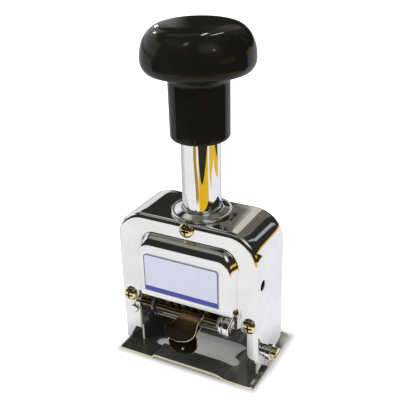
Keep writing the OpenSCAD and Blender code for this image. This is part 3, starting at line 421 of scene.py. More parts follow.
MATS = {
    "chrome": chrome(),
    "knob_black": gloss_black(),
    "base_steel": base_steel(),
    "pale_edge": pale_edge(),
    "gold_edge": metal("gold_edge", (0.93, 0.85, 0.58), (0.70, 0.60, 0.32), 0.2, share=0.45),
    "brass": metal("brass", (0.90, 0.76, 0.46), (0.62, 0.46, 0.22), 0.12, 0.00002),
    "nickel": metal("nickel", (0.84, 0.83, 0.82), (0.62, 0.60, 0.56), 0.07, 0.00001),
    "steel": metal("steel", (0.42, 0.43, 0.45), (0.2, 0.2, 0.21), 0.28, grain=(4000.0, 700.0, 700.0)),
    "spring_steel": metal("spring_steel", (0.34, 0.35, 0.38), (0.12, 0.12, 0.13), 0.24),
    "bronze": bronze(),
    "dark_steel": metal("dark_steel", (0.16, 0.12, 0.07), (0.05, 0.045, 0.04), 0.16),
    # painted shade: dark metal for the screws' cross recesses and the liners of the side holes
    "recess": metal("recess", (0.10, 0.07, 0.03), (0.04, 0.03, 0.02), 0.4),
    "wheel_brass": inked_wheel(),
    "rubber": soft_black("rubber", (0.012, 0.012, 0.012), 1500.0, 0.00004, 0.7, 0.0),
    "pad_felt": soft_black("pad_felt", (0.008, 0.008, 0.016), 3200.0, 0.00012, 0.75, 0.3),
    "label": label_print(*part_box("label_plate")),
}
CAD_MATS = {s["node"]: s["material_slot"] for s in frame["record"]["subparts"]}


# ------------------------------ mesh helpers, in millimetres
def add_object(name, data):
    """A new object in the scene."""
    obj = bpy.data.objects.new(name, data)
    bpy.context.scene.collection.objects.link(obj)
    return obj


def make(name, verts, faces, mats, body, replaces=(), smooth_deg=35.0):
    """A new piece from its corners and faces; it rides on a body and hides the CAD nodes it replaces."""
    mesh = bpy.data.meshes.new(name)
    mesh.from_pydata([tuple(c * MM for c in v) for v in verts], [], faces)
    mesh.update()
    obj = add_object(name, mesh)
    for key in mats:
        mesh.materials.append(MATS[key])
    shade(mesh, smooth_deg)
    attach(obj, body)
    if replaces:
        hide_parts(*replaces)
    return obj


def shade(mesh, smooth_deg):
    for poly in mesh.polygons:
        poly.use_smooth = True
    mesh.set_sharp_from_angle(angle=math.radians(smooth_deg))


def flatten(obj):
    """Keeps large flat faces flat although the narrow bevels beside them are smooth."""
    even = obj.modifiers.new("even", "WEIGHTED_NORMAL")
    even.keep_sharp, even.weight = True, 100


def remake(node, body, bevel):
    """Copy of a CAD node with its sharp edges broken, which then stands for the node."""
    bm = bmesh.new()
    bm.from_mesh(NODES[node].data)
    bmesh.ops.remove_doubles(bm, verts=bm.verts, dist=2e-6)
    bmesh.ops.dissolve_limit(bm, angle_limit=math.radians(0.6), verts=bm.verts, edges=bm.edges)
    limit = math.radians(28.0)
    sharp = [e for e in bm.edges if len(e.link_faces) == 2 and e.calc_face_angle(0.0) > limit]
    bmesh.ops.bevel(bm, geom=sharp, offset=bevel * MM, segments=2, profile=0.5, affect="EDGES",
                    clamp_overlap=True, miter_outer="ARC")
    mesh = bpy.data.meshes.new(node + "_v")
    bm.to_mesh(mesh)
    bm.free()
    obj = add_object(node + "_v", mesh)
    slot = CAD_MATS[node]
    mesh.materials.append(MATS[slot])
    shade(mesh, 40.0)
    flatten(obj)
    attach(obj, body)
    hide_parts(node)
    return obj


def rework(mesh, *steps):
    """Runs steps of bmesh work on a mesh."""
    bm = bmesh.new()
    bm.from_mesh(mesh)
    for step in steps:
        step(bm)
    bm.to_mesh(mesh)
    bm.free()


def even_normals(bm):
    bmesh.ops.recalc_face_normals(bm, faces=bm.faces)


def thicken(obj, thick, offset, bevel, limit_deg):
    """Gives an open sheet its thickness, a rim in its second material and broken edges."""
    sheet = obj.modifiers.new("sheet", "SOLIDIFY")
    sheet.thickness, sheet.offset, sheet.material_offset_rim = thick * MM, offset, 1
    edge = obj.modifiers.new("edge", "BEVEL")
    edge.width, edge.segments = bevel * MM, 2
    edge.limit_method, edge.angle_limit = "ANGLE", math.radians(limit_deg)
    return sheet, edge


def lathe(name, profile, at, axis, mats, body, replaces, seg):
    """Turned piece: profile is (radius, distance along the axis), closed if it ends where it starts."""
    smooth_deg = 30.0
    closed = profile[0] == profile[-1]
    ring = profile[:-1] if closed else profile
    verts, faces, rows = [], [], []
    for radius, along in ring:
        if radius < 1e-6:
            rows.append([len(verts)] * seg)
            verts.append((0.0, 0.0, along))
            continue
        rows.append(list(range(len(verts), len(verts) + seg)))
        verts += [(x, y, along) for x, y in circle(0.0, 0.0, radius, seg)]
    pairs = list(zip(rows, rows[1:])) + ([(rows[-1], rows[0])] if closed else [])
    for a, b in pairs:
        for k in range(seg):
            quad = [a[k], a[(k + 1) % seg], b[(k + 1) % seg], b[k]]
            face = list(dict.fromkeys(quad))
            if len(face) > 2:
                faces.append(face)
    turn = {"Z": Matrix.Identity(3), "X": Matrix(((0, 0, 1), (0, 1, 0), (-1, 0, 0))),
            "-Y": Matrix(((1, 0, 0), (0, 0, -1), (0, 1, 0)))}[axis]
    verts = [tuple(turn @ Vector(v) + Vector(at)) for v in verts]
    obj = make(name, verts, faces, mats, body, replaces, smooth_deg)
    rework(obj.data, even_normals)
    shade(obj.data, smooth_deg)
    return obj


def oval(cx, cy, rx, ry, degrees):
    """Points of an upright ellipse at the given angles."""
    return [(cx + rx * math.cos(math.radians(a)), cy + ry * math.sin(math.radians(a))) for a in degrees]


def arc(cx, cy, r, a0, a1, steps):
    """Points on an arc, angles in degrees."""
    return oval(cx, cy, r, r, [a0 + (a1 - a0) * k / steps for k in range(steps + 1)])


def circle(cx, cy, r, count):
    """Points round a whole circle."""
    turns = [2 * math.pi * k / count for k in range(count)]
    return [(cx + r * math.cos(a), cy + r * math.sin(a)) for a in turns]


def inside(p, loop):
    x, y = p
    hit = False
    for (x0, y0), (x1, y1) in zip(loop, loop[1:] + loop[:1]):
        if (y0 > y) != (y1 > y) and x < x0 + (y - y0) * (x1 - x0) / (y1 - y0):
            hit = not hit
    return hit


def fill(loops, grid, place, faces_out, verts_out, flip=False):
    """Triangulates between loops[0] and the holes, through the grid's points, and puts it in space."""
    points, links = [], []
    for loop in loops:
        base = len(points)
        points += loop
        links += [(base + k, base + (k + 1) % len(loop)) for k in range(len(loop))]
    rim = list(points)
    points += [p for p in grid if sum(inside(p, r) for r in loops) % 2
               and all((p[0] - q[0]) ** 2 + (p[1] - q[1]) ** 2 > 0.04 for q in rim)]
    out = delaunay_2d_cdt([Vector(p) for p in points], links, [], 0, 1e-5)
    flat, tris = out[0], out[2]
    base = len(verts_out)
    verts_out += [place(v.x, v.y) for v in flat]
    for tri in tris:
        centre = (sum(flat[k].x for k in tri) / 3, sum(flat[k].y for k in tri) / 3)
        if sum(inside(centre, r) for r in loops) % 2:
            faces_out.append([base + k for k in (list(tri)[::-1] if flip else tri)])


# ------------------------------ casing, one bent and pressed sheet
# The wrap is the casing's walls, shoulders and top laid flat: s runs up the left wall, over the top and
# down the right wall, t runs across it from the front flat to the back flat.
RISE, BOW, RUN = TOP - SHOULDER, SHOULDER * math.pi / 2, RIGHT - LEFT - 2 * SHOULDER
TOTAL = 2 * RISE + 2 * BOW + RUN
QUARTER = BEND * math.pi / 2
DEPTH = (BACK - FRONT) - 2 * BEND
FAR = 2 * QUARTER + DEPTH


def across(y):
    """The wrap's t at a depth y."""
    return QUARTER + y - FRONT - BEND


def outline(foot_right):
    """Rim of the front and back flats in (x, z): up the left wall, over the top, down to foot_right."""
    r = SHOULDER - BEND
    left, right, top = LEFT + BEND, RIGHT - BEND, TOP - BEND
    path = [(left, FOOT_Z)] + [(left, z) for z in LOW_Z + WALL_Z]
    path += arc(LEFT + SHOULDER, TOP - SHOULDER, r, 180, 90, ARC_STEPS)
    path += [(x, top) for x in TOP_X]
    path += arc(RIGHT - SHOULDER, TOP - SHOULDER, r, 90, 0, ARC_STEPS)
    path += [(right, z) for z in reversed(LOW_Z + WALL_Z) if z > foot_right + 0.01]
    return path + [(right, foot_right)]


def wrap_place(s, t):
    """Point in space of a point of the wrap."""
    if t < QUARTER:
        a = t / BEND
        inset, y = BEND * (1 - math.sin(a)), FRONT + BEND * (1 - math.cos(a))
    elif t > QUARTER + DEPTH:
        a = (t - QUARTER - DEPTH) / BEND
        inset, y = BEND * (1 - math.cos(a)), BACK - BEND * (1 - math.sin(a))
    else:
        inset, y = 0.0, FRONT + BEND + t - QUARTER
    r = SHOULDER - inset
    if s <= RISE:
        return (LEFT + inset, y, s)
    if s <= RISE + BOW:
        a = math.pi - (s - RISE) / SHOULDER
        return (LEFT + SHOULDER + r * math.cos(a), y, RISE + r * math.sin(a))
    if s <= RISE + BOW + RUN:
        return (LEFT + SHOULDER + s - RISE - BOW, y, TOP - inset)
    if s <= RISE + 2 * BOW + RUN:
        a = math.pi / 2 - (s - RISE - BOW - RUN) / SHOULDER
        return (RIGHT - SHOULDER + r * math.cos(a), y, RISE + r * math.sin(a))
    return (RIGHT - inset, y, TOTAL - s)


def wrap_lines():
    """The values of s with points: up both walls, round the shoulders and along the top."""
    climbing = WALL_Z + [RISE + BOW * k / ARC_STEPS for k in range(ARC_STEPS + 1)]
    lines = LOW_Z + climbing + [RISE + BOW + (x - LEFT - SHOULDER) for x in TOP_X]
    return lines + [TOTAL - s for s in reversed(climbing)]


def wrap_ends():
    """Lower ends of the left and the right wall, each with a foot for its slot and a slit beside it."""
    slit = [(FOOT_Z, across(SLIT_FRONT)), (SLIT_TOP, across(SLIT_FRONT)), (SLIT_TOP, across(FOOT_FRONT))]
    foot = [(FOOT_END, across(FOOT_FRONT)), (FOOT_END, across(FOOT_BACK)), (FOOT_Z, across(FOOT_BACK)),
            (FOOT_Z, FAR)]
    left = [(FOOT_Z, QUARTER * k / 6) for k in range(7)] + slit + foot
    flange = across(FRONT + SHEET + 0.1)
    right = [(LEG_END, 0.0), (LEG_END, flange * 0.5), (LEG_END, flange), (FOOT_Z, flange)] + slit + foot
    return left, [(TOTAL - s, t) for s, t in reversed(right)]


def wrap(faces, verts):
    """The wrap with its holes, bent into place."""
    lines = wrap_lines()
    left_end, right_end = wrap_ends()
    edge_back = [(s, FAR) for s in lines]
    edge_front = [(s, 0.0) for s in reversed(lines)]
    loop = left_end + edge_back + right_end + edge_front[1:-1]
    holes = [circle(s, across(SIDE_HOLE_Y), SIDE_HOLE_R, 28) for s in (SIDE_HOLE_Z, TOTAL - SIDE_HOLE_Z)]
    holes.append(circle(RISE + BOW + (0.0 - LEFT - SHOULDER), across(PLUNGER_Y), BUSH_HOLE_R, 48))
    rows = [QUARTER * k / 6 for k in range(1, 7)] + [QUARTER + DEPTH * k / 6 for k in range(1, 6)]
    rows += [QUARTER + DEPTH + QUARTER * k / 6 for k in range(6)]
    grid = [(s, t) for s in lines + [TOTAL - z for z in LOW_Z] for t in rows]
    fill([loop] + holes, grid, wrap_place, faces, verts)


def two_bends(start, end, foot_r, head_r, slope, head_steps):
    """Profile of a slope between a round foot and a round head: (run, height)."""
    low = [(start + foot_r * math.sin(slope * k / 5),
            foot_r * (1 - math.cos(slope * k / 5))) for k in range(6)]
    high = [(end - head_r * math.sin(slope * k / head_steps),
             RAISE - head_r * (1 - math.cos(slope * k / head_steps))) for k in range(8)]
    return low + high[::-1]


def panel_rings():
    """Cross-section of the pressed panel, from the wall up to the face: runs and heights at side and top."""
    slope = math.atan2(RAISE, PANEL_RUN)
    foot_r, head_r = SIDE_BENDS
    end = PANEL_RUN + head_r * math.tan(slope / 2)
    side = two_bends(-foot_r * math.tan(slope / 2), end, foot_r, head_r, slope, 7)
    # the top is one large bend that runs a little past the CAD's straight slope
    slope = math.radians(TOP_BEND_DEG)
    head_r = RAISE / (1 - math.cos(slope)) - TOP_FOOT_R
    start = TOP_BEND_RUN - (TOP_FOOT_R + head_r) * math.sin(slope)
    top = two_bends(start, TOP_BEND_RUN, TOP_FOOT_R, head_r, slope, 8)
    return [(a[0], b[0], a[1], b[1]) for a, b in zip(side, top)]


def panel_path(side_run, top_run):
    """Outline of the panel where its side and top slopes have come that far in."""
    hx = PANEL_HALF + PANEL_RUN - side_run
    top = PANEL_TOP + PANEL_SLOPE - top_run
    rx, rz = PANEL_R + PANEL_RUN - side_run, PANEL_R + PANEL_SLOPE - top_run
    path = [(-hx, PANEL_BOTTOM + (top - rz - PANEL_BOTTOM) * k / SIDE_POINTS) for k in range(SIDE_POINTS)]
    path += oval(-hx + rx, top - rz, -rx, rz, [90 * k / CORNER_STEPS for k in range(CORNER_STEPS + 1)])
    flank = list(path)
    path += [(-hx + rx + (2 * hx - 2 * rx) * k / 8, top) for k in range(1, 8)]
    return path + [(-x, z) for x, z in flank][::-1]


def front_flat(faces, verts):
    """The flat front round the foot of the panel, with its two legs."""
    foot = panel_path(*panel_rings()[0][:2])
    path = outline(LEG_END)
    path += arc(STEP_X + LEG_CORNER, LEG_END + LEG_CORNER, LEG_CORNER, 270, 180, 5)
    path += [(STEP_X, STEP_Z), (LEG_RIGHT, STEP_Z), (LEG_RIGHT, PANEL_BOTTOM)]
    path += foot[::-1] + [(foot[0][0], GAP_TOP), (LEG_LEFT, GAP_TOP)] + LEG_SLANT
    fill([path], [], lambda x, z: (x, FRONT, z), faces, verts)


def panel(faces, verts):
    """The slopes of the pressed panel and its face."""
    rings = panel_rings()
    paths = [panel_path(side_run, top_run) for side_run, top_run, _, _ in rings]
    start, count = len(verts), len(paths[0])
    for path, (_, _, side_height, top_height) in zip(paths, rings):
        for i, (x, z) in enumerate(path):
            share = min(1.0, max(0.0, (min(i, count - 1 - i) - SIDE_POINTS) / CORNER_STEPS))
            height = side_height + (top_height - side_height) * share
            verts.append((x, FRONT - height, z))
    for a in range(len(paths) - 1):
        for i in range(count - 1):
            q = start + a * count + i
            faces.append([q, q + 1, q + count + 1, q + count])
    fill([paths[-1]], [], lambda x, z: (x, PANEL_FACE, z), faces, verts)


def back_flange(faces, verts):
    """The back: a rim round the open window."""
    turn_x = WINDOW_HALF - WINDOW_R
    path = outline(FOOT_Z) + [(WINDOW_HALF, FOOT_Z), (WINDOW_HALF, WINDOW_SIDE)]
    path += arc(turn_x, WINDOW_SIDE, WINDOW_R, 0, 90, 6)[1:] + arc(-turn_x, WINDOW_SIDE, WINDOW_R, 90, 180, 6)
    fill([path + [(-WINDOW_HALF, FOOT_Z)]], [], lambda x, z: (x, BACK, z), faces, verts, True)


def face_out(bm):
    """Turns the sheet's faces away from the middle of the casing."""
    even_normals(bm)
    inner = Vector((-1.2, PLUNGER_Y, 30.0)) * MM
    out = sum(f.normal.dot(f.calc_center_median() - inner) * f.calc_area() for f in bm.faces)
    if out < 0:
        bmesh.ops.reverse_faces(bm, faces=bm.faces)


def casing():
    verts, faces = [], []
    for part in (wrap, front_flat, panel, back_flange):
        part(faces, verts)
    obj = make("casing_sheet", verts, faces, ["chrome", "pale_edge"], "casing", ["casing_shell"])
    rework(obj.data, lambda bm: bmesh.ops.remove_doubles(bm, verts=bm.verts, dist=2e-5), face_out)
    shade(obj.data, 50.0)
    sheet, _ = thicken(obj, SHEET, -1.0, 0.22, 55)
    sheet.use_even_offset = True


def hole_liners():
    """Painted shade: dark rings inside the side holes, where little light comes."""
    outer, inner, length = SIDE_HOLE_R + 0.04, SIDE_HOLE_R - 0.1, 0.85
    profile = [(outer, 0.0), (outer, length), (inner, length), (inner, 0.0), (outer, 0.0)]
    for name, x in (("left_hole", LEFT + 0.3), ("right_hole", RIGHT - 0.3 - length)):
        lathe(name, profile, (x, SIDE_HOLE_Y, SIDE_HOLE_Z), "X", ["recess"], "casing", (), 40)


casing()
hole_liners()


# ------------------------------ knob and collar
def dense(points, steps):
    """Catmull-Rom curve through the points."""
    out = []
    ends = [points[0]] + points + [points[-1]]
    for p0, p1, p2, p3 in zip(ends, ends[1:], ends[2:], ends[3:]):
        for k in range(steps):
            t = k / steps
            out.append(tuple(0.5 * (2 * b + (c - a) * t + (2 * a - 5 * b + 4 * c - d) * t * t
                                    + (3 * b - a - 3 * c + d) * t ** 3)
                             for a, b, c, d in zip(p0, p1, p2, p3)))
    return out + [points[-1]]


def turned(name, profile, key, body, node):
    """A piece turned round the plunger's axis."""
    return lathe(name, profile, (0, PLUNGER_Y, 0), "Z", [key], body, [node], 128)


def knob():
    bore, foot, lid_seat = 7.75, 93.4, 132.9
    neck = [(bore, foot), (10.4, foot), (10.9, 93.55), (11.25, 93.95), (11.4, 94.5), (11.4, 95.0),
            (11.41, 96.0), (11.49, 114.0)]
    flare = [(11.5, 114.8), (11.5, 115.2)] + oval(18.0, 115.2, -6.5, 3.4, range(15, 76, 15))
    side = oval(16.7, 123.3, 4.4, 4.9, range(-50, 1, 10))
    side += [(21.0, 125.6), (20.6, 127.9), (20.0, 129.8), (19.1, 131.55), (18.0, 132.95), (16.9, 133.95)]
    recess = [(16.86, 133.9), (16.85, lid_seat), (bore, lid_seat), (bore, foot)]
    return turned("knob_body", neck + flare + dense(side, 5) + recess, "knob_black", "plunger", "knob")


def knob_lid():
    floor_z = 132.95
    dome = [(0.0, 136.2), (4.0, 136.16), (8.0, 136.02), (11.5, 135.75), (14.0, 135.3), (15.6, 134.75),
            (16.76, 134.08)]
    profile = dense(dome, 4) + [(16.8, 134.0), (16.8, floor_z), (0.0, floor_z)]
    return turned("knob_lid", profile, "knob_black", "plunger", "knob_cap")


def collar():
    bore, sleeve, low = 7.72, 9.62, edges("guide_bush")[0][2]
    bead = [(11.5, 62.55), (11.9, 62.7), (12.06, 63.05), (12.0, 63.4), (11.75, 63.65), (11.45, 63.62),
            (11.25, 63.4)]
    cone = [(11.2, 63.38), (10.9, 63.42), (10.4, 63.6), (9.4, 63.99), (8.5, 64.34), (8.1, 64.42),
            (7.85, 64.3), (7.75, 64.05), (bore, 63.6)]
    profile = [(bore, low), (sleeve, low), (sleeve, TOP + 0.05)]
    profile += dense(bead, 4) + dense(cone, 3) + [(bore, low)]
    return turned("guide_collar", profile, "chrome", "casing", "guide_bush")


knob_pieces = (knob(), knob_lid())
collar()


# ------------------------------ finger tabs
def bezier(p, t):
    u = 1 - t
    return tuple(u ** 3 * a + 3 * u * u * t * b + 3 * u * t * t * c + t ** 3 * d for a, b, c, d in zip(*p))


def tab_limits(y, root, waist, waist_y, wide, end):
    """Left and right edge of a tab's plan at y: root width, hollow waist, round end as long as end."""
    (x0, x1), (w0, w1), (cx, wide_y) = root, waist, wide
    if y >= waist_y + NARROWING:
        return x0, x1
    if y <= wide_y:
        reach = max(0.0, 1 - ((wide_y - y) / end) ** 2) ** 0.5 * TAB_HALF
        return cx - reach, cx + reach
    if y >= waist_y:
        k = (waist_y + NARROWING - y) / NARROWING
        k = k * k * (3 - 2 * k)
        return x0 + (w0 - x0) * k, x1 + (w1 - x1) * k
    k = (waist_y - y) / (waist_y - wide_y)
    k = math.sin(k * math.pi / 2) ** 1.5
    return w0 + (cx - TAB_HALF - w0) * k, w1 + (cx + TAB_HALF - w1) * k


def leaf(name, path, limits, body, node):
    """Sheet tab: path is its side view (y, z), limits(y, z) gives its width there; the rim shines."""
    steps = 14
    verts, faces = [], []
    for y, z in path:
        low, high = limits(y, z)
        verts += [(low + (high - low) * k / steps, y, z) for k in range(steps + 1)]
    for r in range(len(path) - 1):
        for k in range(steps):
            q = r * (steps + 1) + k
            faces.append([q, q + 1, q + steps + 2, q + steps + 1])
    obj = make(name, verts, faces, ["bronze", "gold_edge"], body, [node], 80.0)
    rework(obj.data, lambda bm: bmesh.ops.remove_doubles(bm, verts=bm.verts, dist=1e-6),
           lambda bm: bmesh.ops.dissolve_degenerate(bm, dist=1e-7, edges=bm.edges))
    _, edge = thicken(obj, TAB_THICK, 0.0, 0.26, 50)
    edge.material = 1


def upper_leaf():
    """Tab that hugs the pad shaft, dips and rises to its round end."""
    hug_r, waist_y, wide_y = 1.9, SHAFT_Y - 2.7, SHAFT_Y - 4.7
    curve = [(-1.9, 0.9), (-2.2, -3.0), (-4.8, -5.2), (-8.5, -7.9)]
    path = oval(SHAFT_Y, SHAFT_Z, hug_r, hug_r, range(96, 151, 9))
    path += [(SHAFT_Y + y, SHAFT_Z + z) for y, z in (bezier(curve, k / 28) for k in range(29))]
    end = (wide_y - path[-1][0]) * 1.002

    def limits(y, z):
        return tab_limits(y, (-1.2, 8.0), (-3.4, 6.1), waist_y, (-0.5, wide_y), end)

    leaf("upper_leaf", path, limits, "tab", "upper_tab")


def lower_leaf():
    """Tab that runs out from the pad carrier and bends down to its round end."""
    root_z, low_z, waist_y, wide_y, low_y = 15.6, 7.72, -12.4, -15.2, -16.6
    round_z, round_h = 12.3, 4.6
    curve = [(-4, root_z), (-9.5, root_z), (wide_y, 13.4), (low_y, 6.4)]
    path = [p for p in (bezier(curve, k / 40) for k in range(41)) if p[1] > low_z]
    path.append((low_y + 0.24, low_z))

    def limits(y, z):
        x0, x1 = tab_limits(y, (-4.2, 4.2), (-4.8, 5.4), waist_y, (0, wide_y), 4.0)
        dip = max(0.0, round_z - z) / round_h
        reach = TAB_HALF * max(0.0, 1 - dip * dip) ** 0.5
        return max(x0, -reach), min(x1, reach)

    leaf("lower_leaf", path, limits, "pad", "lower_tab")


upper_leaf()
lower_leaf()
lathe("tab_rivet", [(0.0, 0.55), (0.3, 0.5), (0.5, 0.3), (0.55, 0.0), (0.55, -0.4), (0.0, -0.4)],
      (0.9, -16.1, 10.4), "-Y", ["nickel"], "pad", (), 20)


# ------------------------------ figures on the wheels
def figure(text, width, height, depth):
    """Mesh data of one figure, centred, width by height, from z = 0 down to -depth."""
    curve = bpy.data.curves.new("figure", "FONT")
    curve.body, curve.resolution_u, curve.extrude = text, 3, 0.1
    obj = add_object("figure", curve)
    mesh = bpy.data.meshes.new_from_object(obj.evaluated_get(bpy.context.evaluated_depsgraph_get()))
    bpy.data.objects.remove(obj)
    lows = [min(v.co[i] for v in mesh.vertices) for i in range(3)]
    highs = [max(v.co[i] for v in mesh.vertices) for i in range(3)]
    scale = [size / (h - l) for size, l, h in zip((width, height, depth), lows, highs)]
    verts = [((v.co.x - (lows[0] + highs[0]) / 2) * scale[0], (v.co.y - (lows[1] + highs[1]) / 2) * scale[1],
              (v.co.z - highs[2]) * scale[2]) for v in mesh.vertices]
    return verts, [list(p.vertices) for p in mesh.polygons]


def wheel_figures():
    """Figures 0 to 9 round each wheel; they start just under its rim, left of the ratchet."""
    first_x, beside, foot_r = edges("number_wheel_1")[0][0], 1.25, 9.93
    narrow, wide, tall, depth = 1.15, 1.8, 3.5, 0.28
    shapes = [figure(str(d), narrow if d == 1 else wide, tall, depth) for d in range(10)]
    for i in range(WHEELS):
        verts, faces = [], []
        for d, (points, polys) in enumerate(shapes):
            turn = Matrix.Rotation(math.radians(36 * d), 3, "X")
            base = len(verts)
            for x, y, z in points:
                at = turn @ Vector((0.0, y, z - foot_r))
                verts.append((first_x + WHEEL_PITCH * i + beside + x, at.y, at.z + AXLE_Z))
            faces += [[base + k for k in poly] for poly in polys]
        make(f"figures_{i + 1}", verts, faces, ["wheel_brass"], f"wheel_{i + 1}")


wheel_figures()

# ------------------------------ the remaining nodes
BODY = {n: b for b, members in frame["record"]["behaviour"]["bodies"].items() for n in members}
# width of the broken edges
REMADE = {
    "base_plate": 0.16, "leg_block_left": 0.3, "leg_block_right": 0.3, "bush_nut": 0.25,
    "side_screw": 0.18, "side_rings": 0.25, "side_rivet": 0.12, "latch_stud": 0.15, "plunger_tube": 0.1,
    "case_screws": 0.12, "carriage_yoke": 0.3, "guide_shoes": 0.3, "selector_plate": 0.15,
    "selector_lever": 0.15, "pad_carrier": 0.12, "pad_shaft": 0.12, "pad_roller": 0.12, "shaft_nut": 0.1,
    "feed_arm": 0.2, "label_plate": 0.08, "wheel_axle": 0.15,
}
REMADE.update({f"number_wheel_{i + 1}": 0.08 for i in range(WHEELS)})


def on_bare_shaft(at, normal):
    """The pad shaft left of its slotted head."""
    return at.x < 18.5


def on_front_edge(at, normal):
    """The cut front edge of the base plate."""
    return normal.y < -0.6 and at.y < -14.5 and at.z < 3.0


def in_screw_recess(at, normal):
    """Below the surface of a casing screw's dome, so in its cross."""
    out = FRONT - at.y
    off = min(math.hypot(at.x - x, at.z - z) for x, z in SCREWS)
    return 0.8 < out < 1.86 and off < math.sqrt(SCREW_DOME ** 2 - (out + SCREW_SUNK) ** 2) - 0.12


# the screws' cross recesses take the dark recess metal as painted shade
SECOND_LOOK = {"pad_shaft": ("dark_steel", on_bare_shaft), "base_plate": ("gold_edge", on_front_edge),
               "case_screws": ("recess", in_screw_recess)}
for node, width in REMADE.items():
    piece = remake(node, BODY[node], width)
    if node in SECOND_LOOK:
        key, chosen = SECOND_LOOK[node]
        piece.data.materials.append(MATS[key])
        for poly in piece.data.polygons:
            if chosen(poly.center / MM, poly.normal):
                poly.material_index = 1
ear = [(x, EAR_FRONT, z) for x, z in
       ((EAR_LEFT, FOOT_Z), (EAR_RIGHT, FOOT_Z), (EAR_RIGHT, EAR_BEND_Z), (EAR_LEFT, EAR_BEND_Z))]
make("ear_end", ear, [[0, 1, 2, 3]], ["pale_edge"], "casing")

for name, obj in NODES.items():
    obj.data.materials.clear()
    obj.data.materials.append(MATS[CAD_MATS[name]])


# ------------------------------ floor, lamps, world and camera, in metres
def mirrored_floor(n, x, y):
    """What polished metal sees of the floor: pale, with golden and dark streaks further out, dark beyond."""
    away = n.length(x, y)
    bearing = n.bearing(x, y)
    endless = 99.0

    def apart(line):
        """Degrees between a place and a streak's middle line."""
        return n.math("ABSOLUTE", n.sub(bearing, line))

    def round_end(start, run, width):
        """Half the width, in degrees, of a streak whose round end lies start metres away."""
        return n.mul(n.math("SQRT", n.climb(away, start, run)), width)

    widen = n.climb(away, 0.175, 0.070)
    core = n.under(apart(n.linear(widen, 9.5, 2.0)), n.mul(n.math("SQRT", widen), 27.5))
    gold = n.both(n.band(bearing, -16.0, 38.0, 2.0), n.band(away, 0.126, endless, 0.01))
    drift = n.climb(away, 0.165, 0.045)
    brown = n.both(n.under(apart(n.linear(drift, -9.0, -26.0)), 8.5),
                   n.band(away, 0.150, endless, 0.01))
    limit = n.linear(n.climb(away, 0.19, 0.04), 26.0, 59.0)
    second = n.both(n.under(bearing, limit), n.band(bearing, 46.0, 200.0, 4.0),
                    n.band(away, 0.175, endless, 0.02))
    before_wall = n.under(bearing, 107.0)
    third = n.both(n.under(apart(102.0), round_end(0.181, 0.02, 25.0)), before_wall)
    dusk = n.both(n.over(bearing, n.sub(124.0, round_end(0.2, 0.035, 38.0))), before_wall,
                  n.over(away, 0.2))
    far = n.both(n.band(away, 0.249, endless, 0.004), n.over(bearing, -100.0), before_wall)

    white = n.mix(n.band(bearing, 60.0, 200.0, 20.0), (0.99, 0.99, 0.98), (0.955, 0.955, 1.0))
    # painted shade: the floor that metal sees is darker within 25 mm of the plunger's axis, under the object
    lit = n.linear(n.climb(away, 0.025, 0.02), 0.65, 0.35)
    tone = n.mix(lit, (0.0, 0.0, 0.0), white)
    shade_left = n.add(n.band(bearing, -176.0, -112.0, 24.0), n.band(bearing, 136.0, 176.0, 24.0))
    tone = n.mix(n.mul(shade_left, 0.75), tone, (0.50, 0.50, 0.53))
    for mask, color in ((brown, (0.46, 0.27, 0.05)), (gold, (0.86, 0.53, 0.02)), (second, (0.86, 0.55, 0.05)),
                        (third, (0.86, 0.53, 0.02)), (dusk, (0.10, 0.06, 0.02)), (core, (0.035, 0.03, 0.02)),
                        (far, (0.03, 0.03, 0.028))):
        tone = n.mix(mask, tone, color)
    return n.new("ShaderNodeEmission", Color=tone, Strength=1.0).outputs[0]


def seen_floor(n, x, y, camera_ray):
    """The floor seen directly: painted shade under the plate and a painted shadow that soon fades beside it,
    over the real shadow.
    """
    (plate_x, plate_y), (half_x, half_y), fade = (0.0005, -0.0010), (0.0300, 0.0190), 0.006
    past_x = n.math("MAXIMUM", n.sub(n.math("ABSOLUTE", n.sub(x, plate_x)), half_x), 0.0)
    past_y = n.math("MAXIMUM", n.sub(n.math("ABSOLUTE", n.sub(y, plate_y)), half_y), 0.0)
    clear = n.math("DIVIDE", n.length(past_x, past_y), fade, clamp=True)
    # painted shade: the floor's colour is darker under the plate and for 6 mm beside it
    n.set(Base_Color=n.mix(clear, (0.32, 0.32, 0.31), (0.86, 0.86, 0.86)), Roughness=0.9)
    lift = n.linear(clear, 0.75, 0.15)
    pale = n.new("ShaderNodeEmission", Color=(1, 1, 1, 1), Strength=n.mul(camera_ray, lift))
    seen = n.new("ShaderNodeAddShader")
    n.put(seen.inputs[0], n.bsdf.outputs[0])
    n.put(seen.inputs[1], pale.outputs[0])
    return seen.outputs[0]


def studio_floor():
    half = 3.0
    mesh = bpy.data.meshes.new("floor")
    corners = [(-half, -half, 0), (half, -half, 0), (half, half, 0), (-half, half, 0)]
    mesh.from_pydata(corners, [], [(0, 1, 2, 3)])
    floor = add_object("floor", mesh)
    n = material("floor")
    place_x, place_y, _ = n.parts()
    x, y = place_x, n.sub(place_y, PLUNGER_Y * MM)
    rays = n.new("ShaderNodeLightPath").outputs
    mirrored = n.math("MAXIMUM", rays["Is Glossy Ray"], rays["Is Transmission Ray"])
    out = n.new("ShaderNodeMixShader", Fac=mirrored)
    n.put(out.inputs[1], seen_floor(n, x, y, rays["Is Camera Ray"]))
    n.put(out.inputs[2], mirrored_floor(n, x, y))
    n.put(n.tree.nodes["Material Output"].inputs["Surface"], out.outputs[0])
    mesh.materials.append(n.mat)


def area_lamp(name, power, at, back):
    """Area lamp at a place, with its back turned towards the vector back."""
    lamp = bpy.data.lights.new(name, "AREA")
    lamp.energy = power
    holder = add_object(name, lamp)
    holder.location = at
    holder.rotation_mode = "QUATERNION"
    holder.rotation_quaternion = back.to_track_quat("Z", "Y")
    return holder


def studio_lamps():
    target, size = Vector((0, 0, 0.06)), 0.5
    for name, at, power in (("key", (-0.5, -0.35, 0.7), 4.0), ("fill", (0.6, -0.5, 0.5), 1.5)):
        holder = area_lamp(name, power, at, Vector(at) - target)
        holder.data.size = size
        holder.visible_glossy = False


